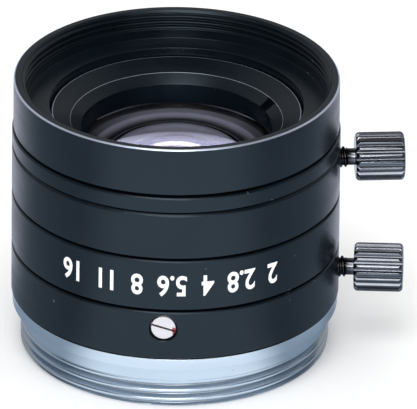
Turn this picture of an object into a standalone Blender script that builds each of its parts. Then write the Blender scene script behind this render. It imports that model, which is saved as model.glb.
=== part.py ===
# C-mount machine vision lens with a working iris.
# Metres, +Z towards the front glass. The origin is on the lens axis, in the plane of the rear rim.
# The lens is modelled focused at infinity, with its iris fully open.

import bpy
import bmesh
from math import asin, atan2, cos, pi, sin, sqrt
from mathutils import Matrix, Vector

MM = 0.001
DEG = pi / 180

# Named clearances
SEAM = 0.25 * MM  # running gap between the stacked outer rings
SEAT = 0.25 * MM  # gap between faces that rest on each other
SLIDE = 0.2 * MM  # radial gap of a sliding, turning or screwed fit
TAP_FIT = 0.1 * MM  # radial gap of a small screw in its hole
PIN_FIT = 0.05 * MM  # gap of a blade pin in its hole or slot

# Camera thread and flange. The radii of the rings and tubes follow from the thread's.
THREAD_RADIUS = 12.7 * MM
THREAD_CHAMFER = 0.31 * MM
FLANGE_SHOULDER = 3.74 * MM
FLANGE_OVERHANG = 0.7 * MM
FLANGE_THICKNESS = 0.85 * MM
FLANGE_EDGE = 0.06 * MM
MOUNT_LIP = 0.9 * MM
MOUNT_LIP_WIDTH = 0.45 * MM

# Outer rings, from the camera end to the front
RING_PROUD = 0.1 * MM
RING_WALL = 1.6 * MM
RING_EDGE = 0.12 * MM
IRIS_RING_HEIGHT = 4.225 * MM
BAND_HEIGHT = 4.43 * MM
FOCUS_RING_HEIGHT = 4.035 * MM
HELICOID_RING_HEIGHT = 1.315 * MM
HELICOID_SEAM = 0.14 * MM
FRONT_HEIGHT = 4.125 * MM
FRONT_INSET = 0.1 * MM

# Main barrel, the fixed tube that the rings turn on
MAIN_WALL = 1.25 * MM
SPIGOT_STEP = 0.55 * MM
MAIN_FLANGE = 0.35 * MM
MAIN_FLANGE_OVERHANG = 0.55 * MM
BOSS_WALL = 0.5 * MM
BOSS_LENGTH = 3.9 * MM
SKIRT_WALL = 0.35 * MM

# Lens tube, the sliding tube that carries the glass
TUBE_REAR = 1.6 * MM
MIDDLE_DEPTH = 3.47 * MM
SEPTUM = 0.85 * MM
SEPTUM_LEDGE = 1.8 * MM
CHAMBER_WALL = 1.25 * MM
FOCUS_TRAVEL = 1.6 * MM

# Front bore, as seen from above
FRONT_RIM = 0.65 * MM
FILTER_THREAD = 0.3 * MM
FILTER_DEPTH = 1.56 * MM
BAFFLE_STEP = 0.15 * MM
LEDGE_DEPTH = 2.39 * MM

# Conical ring that holds the front glass
CLAMP_RECESS = 0.64 * MM
CLAMP_FLANGE = 0.63 * MM
CLAMP_LAND = 0.37 * MM
CLAMP_SLOPE_DROP = 0.78 * MM
CLAMP_CHAMFER = 0.89 * MM
CLAMP_THROAT_DROP = 1.43 * MM
NOTCH_WIDTH = 1.2 * MM
NOTCH_DEPTH = 0.3 * MM
NOTCH_AZIMUTH = 25.5 * DEG

# Front group glass: places and thicknesses. A bend is a radius of curvature over the glass's radius.
FRONT_GLASS_WALL = 1.15 * MM
FRONT_GLASS_DROP = 5.56 * MM
FRONT_GLASS_DEPTH = 3.63 * MM
FRONT_GLASS_BEND = 4.0
FRONT_GLASS_LAND = 2.2 * MM
FRONT_HOLLOW_BEND = 1.6
MIDDLE_STEP = 2.1 * MM
SECOND_GLASS_EDGE = 1.1 * MM
SECOND_GLASS_BEND = 2.3
SECOND_HOLLOW_BEND = 5.7
INNER_RING_WALL = 1.1 * MM
INNER_RING_HEIGHT = 0.9 * MM

# Rear group glass and its holder
CELL_NOSE_GAP = 0.4 * MM
CELL_SHOULDER = 4.7 * MM
CELL_WALL = 1.0 * MM
CELL_LIP = 0.3 * MM
CELL_LIP_WIDTH = 0.7 * MM
REAR_GLASS_INSET = 3.8 * MM
THIRD_GLASS_MIDDLE = 0.6 * MM
THIRD_GLASS_BEND = 3.5
CEMENTED_BEND = 2.7
CEMENT_GAP = 0.1 * MM
FOURTH_GLASS_EDGE = 0.5 * MM
FOURTH_GLASS_BEND = 4.8
REAR_AIR_GAP = 0.2 * MM
SPACER_WALL = 0.5 * MM
FIFTH_GLASS_EDGE = 0.38 * MM
FIFTH_FRONT_BEND = 3.1
FIFTH_REAR_BEND = 5.8
REAR_RING_WALL = 0.7 * MM
REAR_RING_HEIGHT = 0.35 * MM

# Iris: a blade is a crescent that swings on a pivot pin and is driven by a pin on its tail
BLADES = 6
IRIS_TURN = 45 * DEG
PIVOT_INSET = 3.1 * MM
BLADE_WIDTH = 2.1 * MM
BLADE_TO_PIVOT = 0.5 * MM
BLADE_HEEL = 0.23 * MM
BLADE_ROOT = 0.85 * MM
BLADE_ARC = 150 * DEG
BLADE_THICKNESS = 0.15 * MM
BLADE_PITCH = 0.3 * MM
BLADE_PAD = 0.45 * MM
BLADE_PAD_START = 115 * DEG
TAIL_LENGTH = 1.4 * MM
PIN_RADIUS = 0.22 * MM
SMALLEST_OPENING = 0.42 * MM
IRIS_HOLE_LIP = 0.1 * MM
PLATE_THICKNESS = 0.5 * MM
CAM_THICKNESS = 0.5 * MM
CAM_HOLE_INSET = 0.6 * MM
CAM_SKIRT = 0.8 * MM

# Thumb screws that lock the focus ring and the iris ring
FOCUS_LOCK_AZIMUTH = 4 * DEG
FOCUS_LOCK_ABOVE = 2.305 * MM
IRIS_LOCK_AZIMUTH = -1.9 * DEG
IRIS_LOCK_ABOVE = 2.1 * MM
LOCK_THREAD_RADIUS = 0.9 * MM
LOCK_NECK_RADIUS = 0.7 * MM
LOCK_NECK_LENGTH = 0.65 * MM
LOCK_STANDOFF = 1.25 * MM
LOCK_HEAD_RADIUS = 2.0 * MM
LOCK_HEAD_LENGTH = 4.05 * MM
LOCK_HEAD_EDGE = 0.3 * MM
LOCK_ROOT = 0.5 * MM
KNURL_TEETH = 20
KNURL_DEPTH = 0.22 * MM

# Slotted screw that joins the iris ring to the cam ring
DRIVE_AZIMUTH = -93.8 * DEG
DRIVE_BELOW = 1.465 * MM
DRIVE_HEAD_RADIUS = 1.05 * MM
DRIVE_HEAD_HEIGHT = 0.8 * MM
DRIVE_HEAD_RECESS = 0.15 * MM
DRIVE_HEAD_FIT = 0.15 * MM
DRIVE_PIN_RADIUS = 0.5 * MM
DRIVE_PIN_BITE = 0.6 * MM
DRIVER_SLOT_WIDTH = 0.25 * MM
DRIVER_SLOT_DEPTH = 0.35 * MM
DRIVER_SLOT_TILT = -16 * DEG

# Screw that keeps the lens tube from turning
GUIDE_AZIMUTH = 90 * DEG
GUIDE_BELOW = 1.245 * MM
GUIDE_PIN_RADIUS = 0.5 * MM
GUIDE_PIN_BITE = 0.5 * MM
GUIDE_HEAD_RADIUS = 0.85 * MM
GUIDE_HEAD_HEIGHT = 0.55 * MM

# Facets round a full turn, points on a short round end, and rings of facets on a glass surface
OUTER_STEPS = 36
INNER_STEPS = 28
SMALL_STEPS = 24
HEAD_STEPS = 16
SCREW_STEPS = 12
PIN_STEPS = 8
WINDOW_POINTS = 7
ROUND_END = 5
PAD_POINTS = 4
BLADE_POINTS = 10
SLOT_POINTS = 6
GLASS_RINGS = 2
CUT = 0.5 * MM  # how far a cutter reaches past what it cuts
MERGE = 0.001 * MM  # points closer than this become one
SHARP_ANGLE = 32 * DEG  # edges that turn more than this are shaded sharp
CARRIER_SIZE = 2 * MM  # drawn size of an empty

# Heights of the stacked rings
FLANGE_TOP = FLANGE_SHOULDER + FLANGE_THICKNESS
IRIS_RING_BOTTOM = FLANGE_TOP + SEAM
IRIS_RING_TOP = IRIS_RING_BOTTOM + IRIS_RING_HEIGHT
BAND_BOTTOM = IRIS_RING_TOP + SEAM
BAND_TOP = BAND_BOTTOM + BAND_HEIGHT
FOCUS_BOTTOM = BAND_TOP + SEAM
FOCUS_TOP = FOCUS_BOTTOM + FOCUS_RING_HEIGHT
HELICOID_BOTTOM = FOCUS_TOP + HELICOID_SEAM
HELICOID_TOP = HELICOID_BOTTOM + HELICOID_RING_HEIGHT
FRONT_BOTTOM = HELICOID_TOP + SEAM
FRONT_TOP = FRONT_BOTTOM + FRONT_HEIGHT
LEDGE = FRONT_TOP - LEDGE_DEPTH

# Radii of the camera ring, the outer rings and the tubes inside them
FLANGE_RADIUS = THREAD_RADIUS + FLANGE_OVERHANG
RING_RADIUS = FLANGE_RADIUS + RING_PROUD
FRONT_RADIUS = RING_RADIUS - FRONT_INSET
RING_BORE = RING_RADIUS - RING_WALL
MAIN_RADIUS = RING_BORE - SLIDE
MAIN_BORE = MAIN_RADIUS - MAIN_WALL
SPIGOT_RADIUS = MAIN_RADIUS - SPIGOT_STEP
MOUNT_BORE = SPIGOT_RADIUS + SLIDE
MOUNT_LIP_RADIUS = MOUNT_BORE - MOUNT_LIP_WIDTH
TUBE_RADIUS = MAIN_BORE - SLIDE
CHAMBER_RADIUS = TUBE_RADIUS - CHAMBER_WALL
FILTER_MAJOR = FRONT_RADIUS - FRONT_RIM
FILTER_MINOR = FILTER_MAJOR - FILTER_THREAD
BAFFLE_RADIUS = FILTER_MINOR - BAFFLE_STEP

# Radii of the glass and of the ring that holds the front glass
FRONT_GLASS_RADIUS = TUBE_RADIUS - FRONT_GLASS_WALL
FRONT_HOLLOW_RADIUS = FRONT_GLASS_RADIUS - FRONT_GLASS_LAND
SECOND_GLASS_RADIUS = FRONT_GLASS_RADIUS - MIDDLE_STEP
REAR_GLASS_RADIUS = CHAMBER_RADIUS - REAR_GLASS_INSET
CLAMP_SLOPE_RADIUS = FRONT_GLASS_RADIUS - CLAMP_LAND
CLAMP_THROAT_RADIUS = CLAMP_SLOPE_RADIUS - CLAMP_CHAMFER

# Radii of curvature
FRONT_GLASS_CURVE = FRONT_GLASS_RADIUS * FRONT_GLASS_BEND
FRONT_HOLLOW_CURVE = FRONT_HOLLOW_RADIUS * FRONT_HOLLOW_BEND
SECOND_GLASS_CURVE = SECOND_GLASS_RADIUS * SECOND_GLASS_BEND
SECOND_HOLLOW_CURVE = SECOND_GLASS_RADIUS * SECOND_HOLLOW_BEND
THIRD_GLASS_CURVE = REAR_GLASS_RADIUS * THIRD_GLASS_BEND
CEMENTED_CURVE = REAR_GLASS_RADIUS * CEMENTED_BEND
FOURTH_GLASS_CURVE = REAR_GLASS_RADIUS * FOURTH_GLASS_BEND
FIFTH_FRONT_CURVE = REAR_GLASS_RADIUS * FIFTH_FRONT_BEND
FIFTH_REAR_CURVE = REAR_GLASS_RADIUS * FIFTH_REAR_BEND

# The helicoid's boss and skirt, the main barrel's flange, and the heights of the screws
BOSS_RADIUS = MAIN_BORE + BOSS_WALL
BOSS_BOTTOM = HELICOID_TOP - BOSS_LENGTH
MAIN_MOUTH = BOSS_RADIUS + SLIDE
MAIN_TOP = FOCUS_TOP
MAIN_FLANGE_RADIUS = MAIN_RADIUS + MAIN_FLANGE_OVERHANG
MAIN_FLANGE_BOTTOM = MAIN_TOP - MAIN_FLANGE
SKIRT_BORE = MAIN_FLANGE_RADIUS + SLIDE
SKIRT_RADIUS = SKIRT_BORE + SKIRT_WALL
FOCUS_LOCK_HEIGHT = FOCUS_BOTTOM + FOCUS_LOCK_ABOVE
IRIS_LOCK_HEIGHT = IRIS_RING_BOTTOM + IRIS_LOCK_ABOVE
DRIVE_HEIGHT = IRIS_RING_TOP - DRIVE_BELOW
GUIDE_HEIGHT = BAND_TOP - GUIDE_BELOW


def sag(curve, radius):
    """How far a surface of this curvature falls from its middle out to this radius."""
    return curve - sqrt(curve ** 2 - radius ** 2)


# Inside the lens tube, from the front glass down to the rear ring
CLAMP_TOP = LEDGE - CLAMP_RECESS
TUBE_TOP = CLAMP_TOP - CLAMP_FLANGE - SEAT
FRONT_GLASS_TOP = FRONT_TOP - FRONT_GLASS_DROP
FRONT_GLASS_BOTTOM = FRONT_GLASS_TOP - FRONT_GLASS_DEPTH
FRONT_HOLLOW_TOP = FRONT_GLASS_BOTTOM + sag(FRONT_HOLLOW_CURVE, FRONT_HOLLOW_RADIUS)
FRONT_STEP = FRONT_GLASS_BOTTOM - SEAT
SEPTUM_TOP = FRONT_STEP - MIDDLE_DEPTH
SECOND_GLASS_BOTTOM = SEPTUM_TOP + SEAT
SECOND_GLASS_RIM = SECOND_GLASS_BOTTOM + SECOND_GLASS_EDGE
SECOND_GLASS_TOP = SECOND_GLASS_RIM + sag(SECOND_GLASS_CURVE, SECOND_GLASS_RADIUS)
CHAMBER_TOP = SEPTUM_TOP - SEPTUM
PLATE_TOP = CHAMBER_TOP - SEAT
PLATE_BOTTOM = PLATE_TOP - PLATE_THICKNESS
TOP_BLADE = PLATE_BOTTOM - SEAT
CAM_TOP = TOP_BLADE - (BLADES - 1) * BLADE_PITCH - BLADE_THICKNESS - SEAT
CAM_BOTTOM = CAM_TOP - CAM_THICKNESS
CAM_RADIUS = CHAMBER_RADIUS - SLIDE
CAM_BORE = CAM_RADIUS - CAM_SKIRT
CELL_TOP = CAM_BOTTOM - SEAT
CELL_NOSE_RADIUS = CAM_BORE - CELL_NOSE_GAP
CELL_BORE = REAR_GLASS_RADIUS + SLIDE
CELL_SPIGOT_RADIUS = CELL_BORE + CELL_WALL
CELL_LIP_BOTTOM = CELL_TOP - CELL_LIP
THIRD_GLASS_RIM = CELL_LIP_BOTTOM - SEAT
THIRD_GLASS_FALL = sag(THIRD_GLASS_CURVE, REAR_GLASS_RADIUS)
CEMENTED_FALL = sag(CEMENTED_CURVE, REAR_GLASS_RADIUS)
THIRD_GLASS_BOTTOM = THIRD_GLASS_RIM - THIRD_GLASS_FALL - THIRD_GLASS_MIDDLE - CEMENTED_FALL
FOURTH_GLASS_RIM = THIRD_GLASS_BOTTOM - CEMENT_GAP
FOURTH_GLASS_BOTTOM = FOURTH_GLASS_RIM - FOURTH_GLASS_EDGE
FOURTH_GLASS_FALL = sag(FOURTH_GLASS_CURVE, REAR_GLASS_RADIUS)
FIFTH_GLASS_RISE = sag(FIFTH_FRONT_CURVE, REAR_GLASS_RADIUS)
SPACER_TOP = FOURTH_GLASS_BOTTOM - SEAT
FIFTH_GLASS_RIM = FOURTH_GLASS_BOTTOM - FOURTH_GLASS_FALL - REAR_AIR_GAP - FIFTH_GLASS_RISE
SPACER_BOTTOM = FIFTH_GLASS_RIM + SEAT
FIFTH_GLASS_BOTTOM = FIFTH_GLASS_RIM - FIFTH_GLASS_EDGE
REAR_RING_TOP = FIFTH_GLASS_BOTTOM - SEAT
CELL_BOTTOM = REAR_RING_TOP - REAR_RING_HEIGHT

# Iris radii
PIVOT_RADIUS = CHAMBER_RADIUS - PIVOT_INSET
BLADE_OUTER = PIVOT_RADIUS - BLADE_TO_PIVOT
BLADE_INNER = BLADE_OUTER - BLADE_WIDTH
IRIS_HOLE = BLADE_INNER - IRIS_HOLE_LIP
CAM_HOLE = PIVOT_RADIUS - CAM_HOLE_INSET

# The blades swing until the arcs of their inner edges leave the smallest opening
BLADE_SWING = 2 * asin((BLADE_INNER - SMALLEST_OPENING) / (2 * PIVOT_RADIUS))

for old in list(bpy.data.objects):
    bpy.data.objects.remove(old, do_unlink=True)
MODEL = bpy.data.collections.new("c_mount_lens")
CUTTERS = bpy.data.collections.new("cutters")
bpy.context.scene.collection.children.link(MODEL)
bpy.context.scene.collection.children.link(CUTTERS)


# Shapes

def place(name, mesh):
    """Links a mesh into the model as a new object."""
    obj = bpy.data.objects.new(name, mesh)
    MODEL.objects.link(obj)
    return obj


def turned(name, profile, steps):
    """Turns (radius, height) points about Z. They run down the outer side and back up the bore."""
    points = [(radius, 0, height) for radius, height in profile]
    edges = [(i, i + 1) for i in range(len(points) - 1)]
    if profile[0][0] > 0:
        edges.append((len(points) - 1, 0))
    mesh = bpy.data.meshes.new(name)
    mesh.from_pydata(points, edges, [])
    obj = place(name, mesh)
    turn = obj.modifiers.new("turn", "SCREW")
    turn.steps = steps
    turn.render_steps = steps
    turn.use_merge_vertices = True
    turn.merge_threshold = MERGE
    return obj


def rod(name, radius, low, high, steps, middle=(0, 0)):
    """A round bar along Z between two heights."""
    mesh = bpy.data.meshes.new(name)
    bar = bmesh.new()
    centre = Matrix.Translation((middle[0], middle[1], (low + high) / 2))
    bmesh.ops.create_cone(bar, cap_ends=True, segments=steps, radius1=radius, radius2=radius,
                          depth=high - low, matrix=centre)
    bar.to_mesh(mesh)
    bar.free()
    return place(name, mesh)


def block(name, low, high):
    """A box between two corners."""
    low = Vector(low)
    high = Vector(high)
    mesh = bpy.data.meshes.new(name)
    box = bmesh.new()
    shape = Matrix.Translation((low + high) / 2) @ Matrix.Diagonal((*(high - low), 1))
    bmesh.ops.create_cube(box, size=1, matrix=shape)
    box.to_mesh(mesh)
    box.free()
    return place(name, mesh)


def sheet(name, outlines, low, high):
    """A flat plate between two heights. The first outline is its edge, and those inside it are holes."""
    curve = bpy.data.curves.new(name, "CURVE")
    curve.dimensions = "2D"
    curve.fill_mode = "BOTH"
    curve.extrude = (high - low) / 2
    for outline in outlines:
        spline = curve.splines.new("POLY")
        spline.points.add(len(outline) - 1)
        for point, (x, y) in zip(spline.points, outline):
            point.co = (x, y, 0, 1)
        spline.use_cyclic_u = True
    drawn = place(name + "_outline", curve)
    bpy.context.view_layer.update()
    mesh = bpy.data.meshes.new_from_object(drawn.evaluated_get(bpy.context.evaluated_depsgraph_get()))
    bpy.data.objects.remove(drawn)
    solid = bmesh.new()
    solid.from_mesh(mesh)
    bmesh.ops.remove_doubles(solid, verts=solid.verts, dist=MERGE)
    bmesh.ops.recalc_face_normals(solid, faces=solid.faces)
    bmesh.ops.translate(solid, verts=solid.verts, vec=(0, 0, (low + high) / 2))
    solid.to_mesh(mesh)
    solid.free()
    return place(name, mesh)


def arc(centre, radius, start, stop, count):
    """Points on a round stretch, from one angle to the other."""
    angles = [start + (stop - start) * i / (count - 1) for i in range(count)]
    return [(centre[0] + radius * cos(a), centre[1] + radius * sin(a)) for a in angles]


def circle(centre, radius, steps):
    """A full round outline."""
    return arc(centre, radius, 0, 2 * pi * (steps - 1) / steps, steps)


def sector(inner, outer, start, stop, steps):
    """The outline of a ring's stretch between two angles."""
    return arc((0, 0), outer, start, stop, steps) + arc((0, 0), inner, stop, start, steps)


# Joining and cutting

def use_cutter(obj, tool, operation):
    """Gives the object a Boolean with a helper, which is hidden from renders."""
    boolean = obj.modifiers.new(tool.name, "BOOLEAN")
    boolean.operation = operation
    boolean.object = tool
    tool.hide_render = True
    tool.display_type = "WIRE"
    MODEL.objects.unlink(tool)
    CUTTERS.objects.link(tool)


def cut(obj, tool):
    """Takes the tool's shape out of the object."""
    use_cutter(obj, tool, "DIFFERENCE")


def join(obj, tool):
    """Makes the tool's shape part of the object."""
    use_cutter(obj, tool, "UNION")


def outward(azimuth, height):
    """A frame on the lens axis whose Z points radially outward."""
    turn = Matrix.Rotation(azimuth, 4, "Z") @ Matrix.Rotation(pi / 2, 4, "Y")
    return Matrix.Translation((0, 0, height)) @ turn


def finish(obj, colour, metallic, roughness, see_through=0.0):
    """Bakes the modifiers, shades the round faces smooth and gives the piece its own material."""
    bpy.context.view_layer.update()
    graph = bpy.context.evaluated_depsgraph_get()
    mesh = bpy.data.meshes.new_from_object(obj.evaluated_get(graph))
    obj.modifiers.clear()
    obj.data = mesh
    mesh.name = obj.name
    mesh.shade_smooth()
    mesh.set_sharp_from_angle(angle=SHARP_ANGLE)
    material = bpy.data.materials.new(obj.name)
    material.use_nodes = True
    shader = material.node_tree.nodes["Principled BSDF"]
    shader.inputs["Base Color"].default_value = (*colour, 1)
    shader.inputs["Metallic"].default_value = metallic
    shader.inputs["Roughness"].default_value = roughness
    shader.inputs["Transmission Weight"].default_value = see_through
    mesh.materials.clear()
    mesh.materials.append(material)
    return obj


def black(obj):
    """Satin black anodised aluminium."""
    return finish(obj, (0.022, 0.028, 0.036), 0.6, 0.42)


def matte_black(obj):
    """Dull black, as used inside a lens."""
    return finish(obj, (0.012, 0.013, 0.016), 0.3, 0.65)


def silver(obj):
    """Bright chrome-plated metal."""
    return finish(obj, (0.72, 0.76, 0.80), 1.0, 0.28)


def dark_chrome(obj):
    """Black nickel, as on the thumb screws."""
    return finish(obj, (0.20, 0.20, 0.22), 1.0, 0.25)


def blackened_steel(obj):
    """Dark steel, as on the iris blades."""
    return finish(obj, (0.045, 0.045, 0.05), 0.8, 0.48)


def steel(obj):
    """Plain steel of the guide screw."""
    return finish(obj, (0.30, 0.30, 0.31), 1.0, 0.35)


def coated_glass(obj):
    """Clear glass with a faint violet coating."""
    return finish(obj, (0.86, 0.84, 0.95), 0.0, 0.02, 1.0)


# Outer rings and the camera mount

def edged_ring(name, radius, bottom, top, bore):
    """A plain ring with both outer edges broken."""
    return turned(name, [
        (radius - RING_EDGE, top),
        (radius, top - RING_EDGE),
        (radius, bottom + RING_EDGE),
        (radius - RING_EDGE, bottom),
        (bore, bottom),
        (bore, top),
    ], OUTER_STEPS)


def make_c_mount_ring():
    """Thread, plain land and flange in one piece. It screws onto the main barrel's spigot."""
    return silver(turned("c_mount_ring", [
        (FLANGE_RADIUS - FLANGE_EDGE, FLANGE_TOP),
        (FLANGE_RADIUS, FLANGE_TOP - FLANGE_EDGE),
        (FLANGE_RADIUS, FLANGE_SHOULDER + FLANGE_EDGE),
        (FLANGE_RADIUS - FLANGE_EDGE, FLANGE_SHOULDER),
        (THREAD_RADIUS, FLANGE_SHOULDER),
        (THREAD_RADIUS, THREAD_CHAMFER),
        (THREAD_RADIUS - THREAD_CHAMFER, 0),
        (MOUNT_LIP_RADIUS, 0),
        (MOUNT_LIP_RADIUS, MOUNT_LIP),
        (MOUNT_BORE, MOUNT_LIP),
        (MOUNT_BORE, FLANGE_TOP),
    ], OUTER_STEPS))


def make_main_barrel():
    """Fixed tube with a flange that keeps the focus ring on, and a window for the drive screw."""
    floor = BOSS_BOTTOM - SEAT
    barrel = turned("main_barrel", [
        (MAIN_FLANGE_RADIUS, MAIN_TOP),
        (MAIN_FLANGE_RADIUS, MAIN_FLANGE_BOTTOM),
        (MAIN_RADIUS, MAIN_FLANGE_BOTTOM),
        (MAIN_RADIUS, FLANGE_TOP + SEAT),
        (SPIGOT_RADIUS, FLANGE_TOP + SEAT),
        (SPIGOT_RADIUS, MOUNT_LIP + SEAT),
        (MAIN_BORE, MOUNT_LIP + SEAT),
        (MAIN_BORE, floor),
        (MAIN_MOUTH, floor),
        (MAIN_MOUTH, MAIN_TOP),
    ], INNER_STEPS)
    cut(barrel, drive_window("main_window", MAIN_BORE, MAIN_RADIUS, 0))
    hole = rod("guide_hole", GUIDE_PIN_RADIUS + TAP_FIT, MAIN_BORE - CUT, RING_BORE, SCREW_STEPS)
    hole.matrix_world = outward(GUIDE_AZIMUTH, GUIDE_HEIGHT)
    cut(barrel, hole)
    sink = MAIN_RADIUS - TAP_FIT - GUIDE_HEAD_HEIGHT - TAP_FIT
    sinking = rod("guide_sinking", GUIDE_HEAD_RADIUS + TAP_FIT, sink, RING_BORE, SCREW_STEPS)
    sinking.matrix_world = outward(GUIDE_AZIMUTH, GUIDE_HEIGHT)
    cut(barrel, sinking)
    return matte_black(barrel)


def drive_window(name, inner, outer, travel):
    """The opening that the drive screw's pin sweeps through, in a wall between two radii."""
    reach = DRIVE_PIN_RADIUS + SLIDE
    side = reach / inner
    outline = sector(inner - CUT, outer + CUT, DRIVE_AZIMUTH - side,
                     DRIVE_AZIMUTH + IRIS_TURN + side, WINDOW_POINTS)
    return sheet(name, [outline], DRIVE_HEIGHT - travel - reach, DRIVE_HEIGHT + reach)


def make_scale_band():
    """Fixed band with the dial numbers. It keeps the focus ring down and the iris ring up."""
    return black(edged_ring("scale_band", RING_RADIUS, BAND_BOTTOM, BAND_TOP, RING_BORE))


def lock_hole(name, azimuth, height):
    """The tapped hole of a thumb screw."""
    hole = rod(name, LOCK_THREAD_RADIUS + TAP_FIT, MAIN_RADIUS, RING_RADIUS + CUT, SCREW_STEPS)
    hole.matrix_world = outward(azimuth, height)
    return hole


def make_iris_ring():
    """Turns on the main barrel, with a tapped hole and a countersunk hole."""
    ring = edged_ring("iris_ring", RING_RADIUS, IRIS_RING_BOTTOM, IRIS_RING_TOP, RING_BORE)
    cut(ring, lock_hole("iris_lock_hole", IRIS_LOCK_AZIMUTH, IRIS_LOCK_HEIGHT))
    hole = rod("drive_hole", DRIVE_PIN_RADIUS + TAP_FIT, MAIN_RADIUS, RING_RADIUS, SCREW_STEPS)
    hole.matrix_world = outward(DRIVE_AZIMUTH, DRIVE_HEIGHT)
    cut(ring, hole)
    floor = RING_RADIUS - DRIVE_HEAD_RECESS - DRIVE_HEAD_HEIGHT - TAP_FIT
    sinking = rod("drive_sinking", DRIVE_HEAD_RADIUS + DRIVE_HEAD_FIT, floor, RING_RADIUS + CUT,
                  HEAD_STEPS)
    sinking.matrix_world = outward(DRIVE_AZIMUTH, DRIVE_HEIGHT)
    cut(ring, sinking)
    return black(ring)


def make_focus_ring():
    """Turns on the main barrel below its flange. The helicoid ring screws into its top."""
    floor = MAIN_FLANGE_BOTTOM - SEAT
    mouth = SKIRT_RADIUS + SLIDE
    ring = turned("focus_ring", [
        (RING_RADIUS - RING_EDGE, FOCUS_TOP),
        (RING_RADIUS, FOCUS_TOP - RING_EDGE),
        (RING_RADIUS, FOCUS_BOTTOM + RING_EDGE),
        (RING_RADIUS - RING_EDGE, FOCUS_BOTTOM),
        (RING_BORE, FOCUS_BOTTOM),
        (RING_BORE, floor),
        (mouth, floor),
        (mouth, FOCUS_TOP),
    ], OUTER_STEPS)
    cut(ring, lock_hole("focus_lock_hole", FOCUS_LOCK_AZIMUTH, FOCUS_LOCK_HEIGHT))
    return black(ring)


def make_helicoid_ring():
    """Narrow ring whose long boss drives the lens tube up and down as it turns."""
    web = MAIN_TOP + SEAT
    return black(turned("helicoid_ring", [
        (RING_RADIUS - RING_EDGE, HELICOID_TOP),
        (RING_RADIUS, HELICOID_TOP - RING_EDGE),
        (RING_RADIUS, HELICOID_BOTTOM + RING_EDGE),
        (RING_RADIUS - RING_EDGE, HELICOID_BOTTOM),
        (SKIRT_RADIUS, HELICOID_BOTTOM),
        (SKIRT_RADIUS, MAIN_FLANGE_BOTTOM),
        (SKIRT_BORE, MAIN_FLANGE_BOTTOM),
        (SKIRT_BORE, web),
        (BOSS_RADIUS, web),
        (BOSS_RADIUS, BOSS_BOTTOM),
        (MAIN_BORE, BOSS_BOTTOM),
        (MAIN_BORE, HELICOID_TOP),
    ], OUTER_STEPS))


def make_front_barrel():
    """Front ring with the filter bore and the ledge. It screws onto the lens tube."""
    bore = TUBE_RADIUS + SLIDE
    return black(turned("front_barrel", [
        (FRONT_RADIUS - FLANGE_EDGE, FRONT_TOP),
        (FRONT_RADIUS, FRONT_TOP - FLANGE_EDGE),
        (FRONT_RADIUS, FRONT_BOTTOM + RING_EDGE),
        (FRONT_RADIUS - RING_EDGE, FRONT_BOTTOM),
        (bore, FRONT_BOTTOM),
        (bore, LEDGE),
        (BAFFLE_RADIUS, LEDGE),
        (BAFFLE_RADIUS, FRONT_TOP - FILTER_DEPTH),
        (FILTER_MINOR, FRONT_TOP - FILTER_DEPTH),
        (FILTER_MINOR, FRONT_TOP - FILTER_MAJOR + FILTER_MINOR),
        (FILTER_MAJOR, FRONT_TOP),
    ], OUTER_STEPS))


# Lens tube, its glass and the rings that hold it

def make_lens_tube():
    """Stepped tube: wide bore for the front glass, a septum, and the iris chamber behind it."""
    middle = SECOND_GLASS_RADIUS + SLIDE
    wide = FRONT_GLASS_RADIUS + SLIDE
    tube = turned("lens_tube", [
        (TUBE_RADIUS, TUBE_TOP),
        (TUBE_RADIUS, TUBE_REAR),
        (CHAMBER_RADIUS, TUBE_REAR),
        (CHAMBER_RADIUS, CHAMBER_TOP),
        (SECOND_GLASS_RADIUS - SEPTUM_LEDGE, CHAMBER_TOP),
        (SECOND_GLASS_RADIUS - SEPTUM_LEDGE, SEPTUM_TOP),
        (middle, SEPTUM_TOP),
        (middle, FRONT_STEP),
        (wide, FRONT_STEP),
        (wide, TUBE_TOP),
    ], INNER_STEPS)
    cut(tube, drive_window("tube_window", CHAMBER_RADIUS, TUBE_RADIUS, FOCUS_TRAVEL))
    reach = GUIDE_PIN_RADIUS + SLIDE
    key = block("guide_slot",
                (-reach, MAIN_BORE - GUIDE_PIN_BITE - SEAT - SLIDE, GUIDE_HEIGHT - FOCUS_TRAVEL - reach),
                (reach, TUBE_RADIUS + CUT, GUIDE_HEIGHT + reach))
    key.matrix_world = Matrix.Rotation(GUIDE_AZIMUTH - pi / 2, 4, "Z")
    cut(tube, key)
    return matte_black(tube)


def bowl(top, curve, edge):
    """Points of a round glass surface, from its middle outward. A negative curve rises outward."""
    radii = [edge * i / GLASS_RINGS for i in range(GLASS_RINGS + 1)]
    return [(r, top - (sag(curve, r) if curve > 0 else -sag(-curve, r))) for r in radii]


def lens(name, front, rear, steps):
    """A lens from its two surfaces, each drawn from the middle outward. The rim joins them."""
    return coated_glass(turned(name, front + rear[::-1], steps))


def make_front_lens():
    """Meniscus with a gentle dome in front and a deep hollow behind."""
    front = bowl(FRONT_GLASS_TOP, FRONT_GLASS_CURVE, FRONT_GLASS_RADIUS)
    rear = bowl(FRONT_HOLLOW_TOP, FRONT_HOLLOW_CURVE, FRONT_HOLLOW_RADIUS)
    rear.append((FRONT_GLASS_RADIUS, FRONT_GLASS_BOTTOM))
    return lens("front_lens", front, rear, INNER_STEPS)


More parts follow.
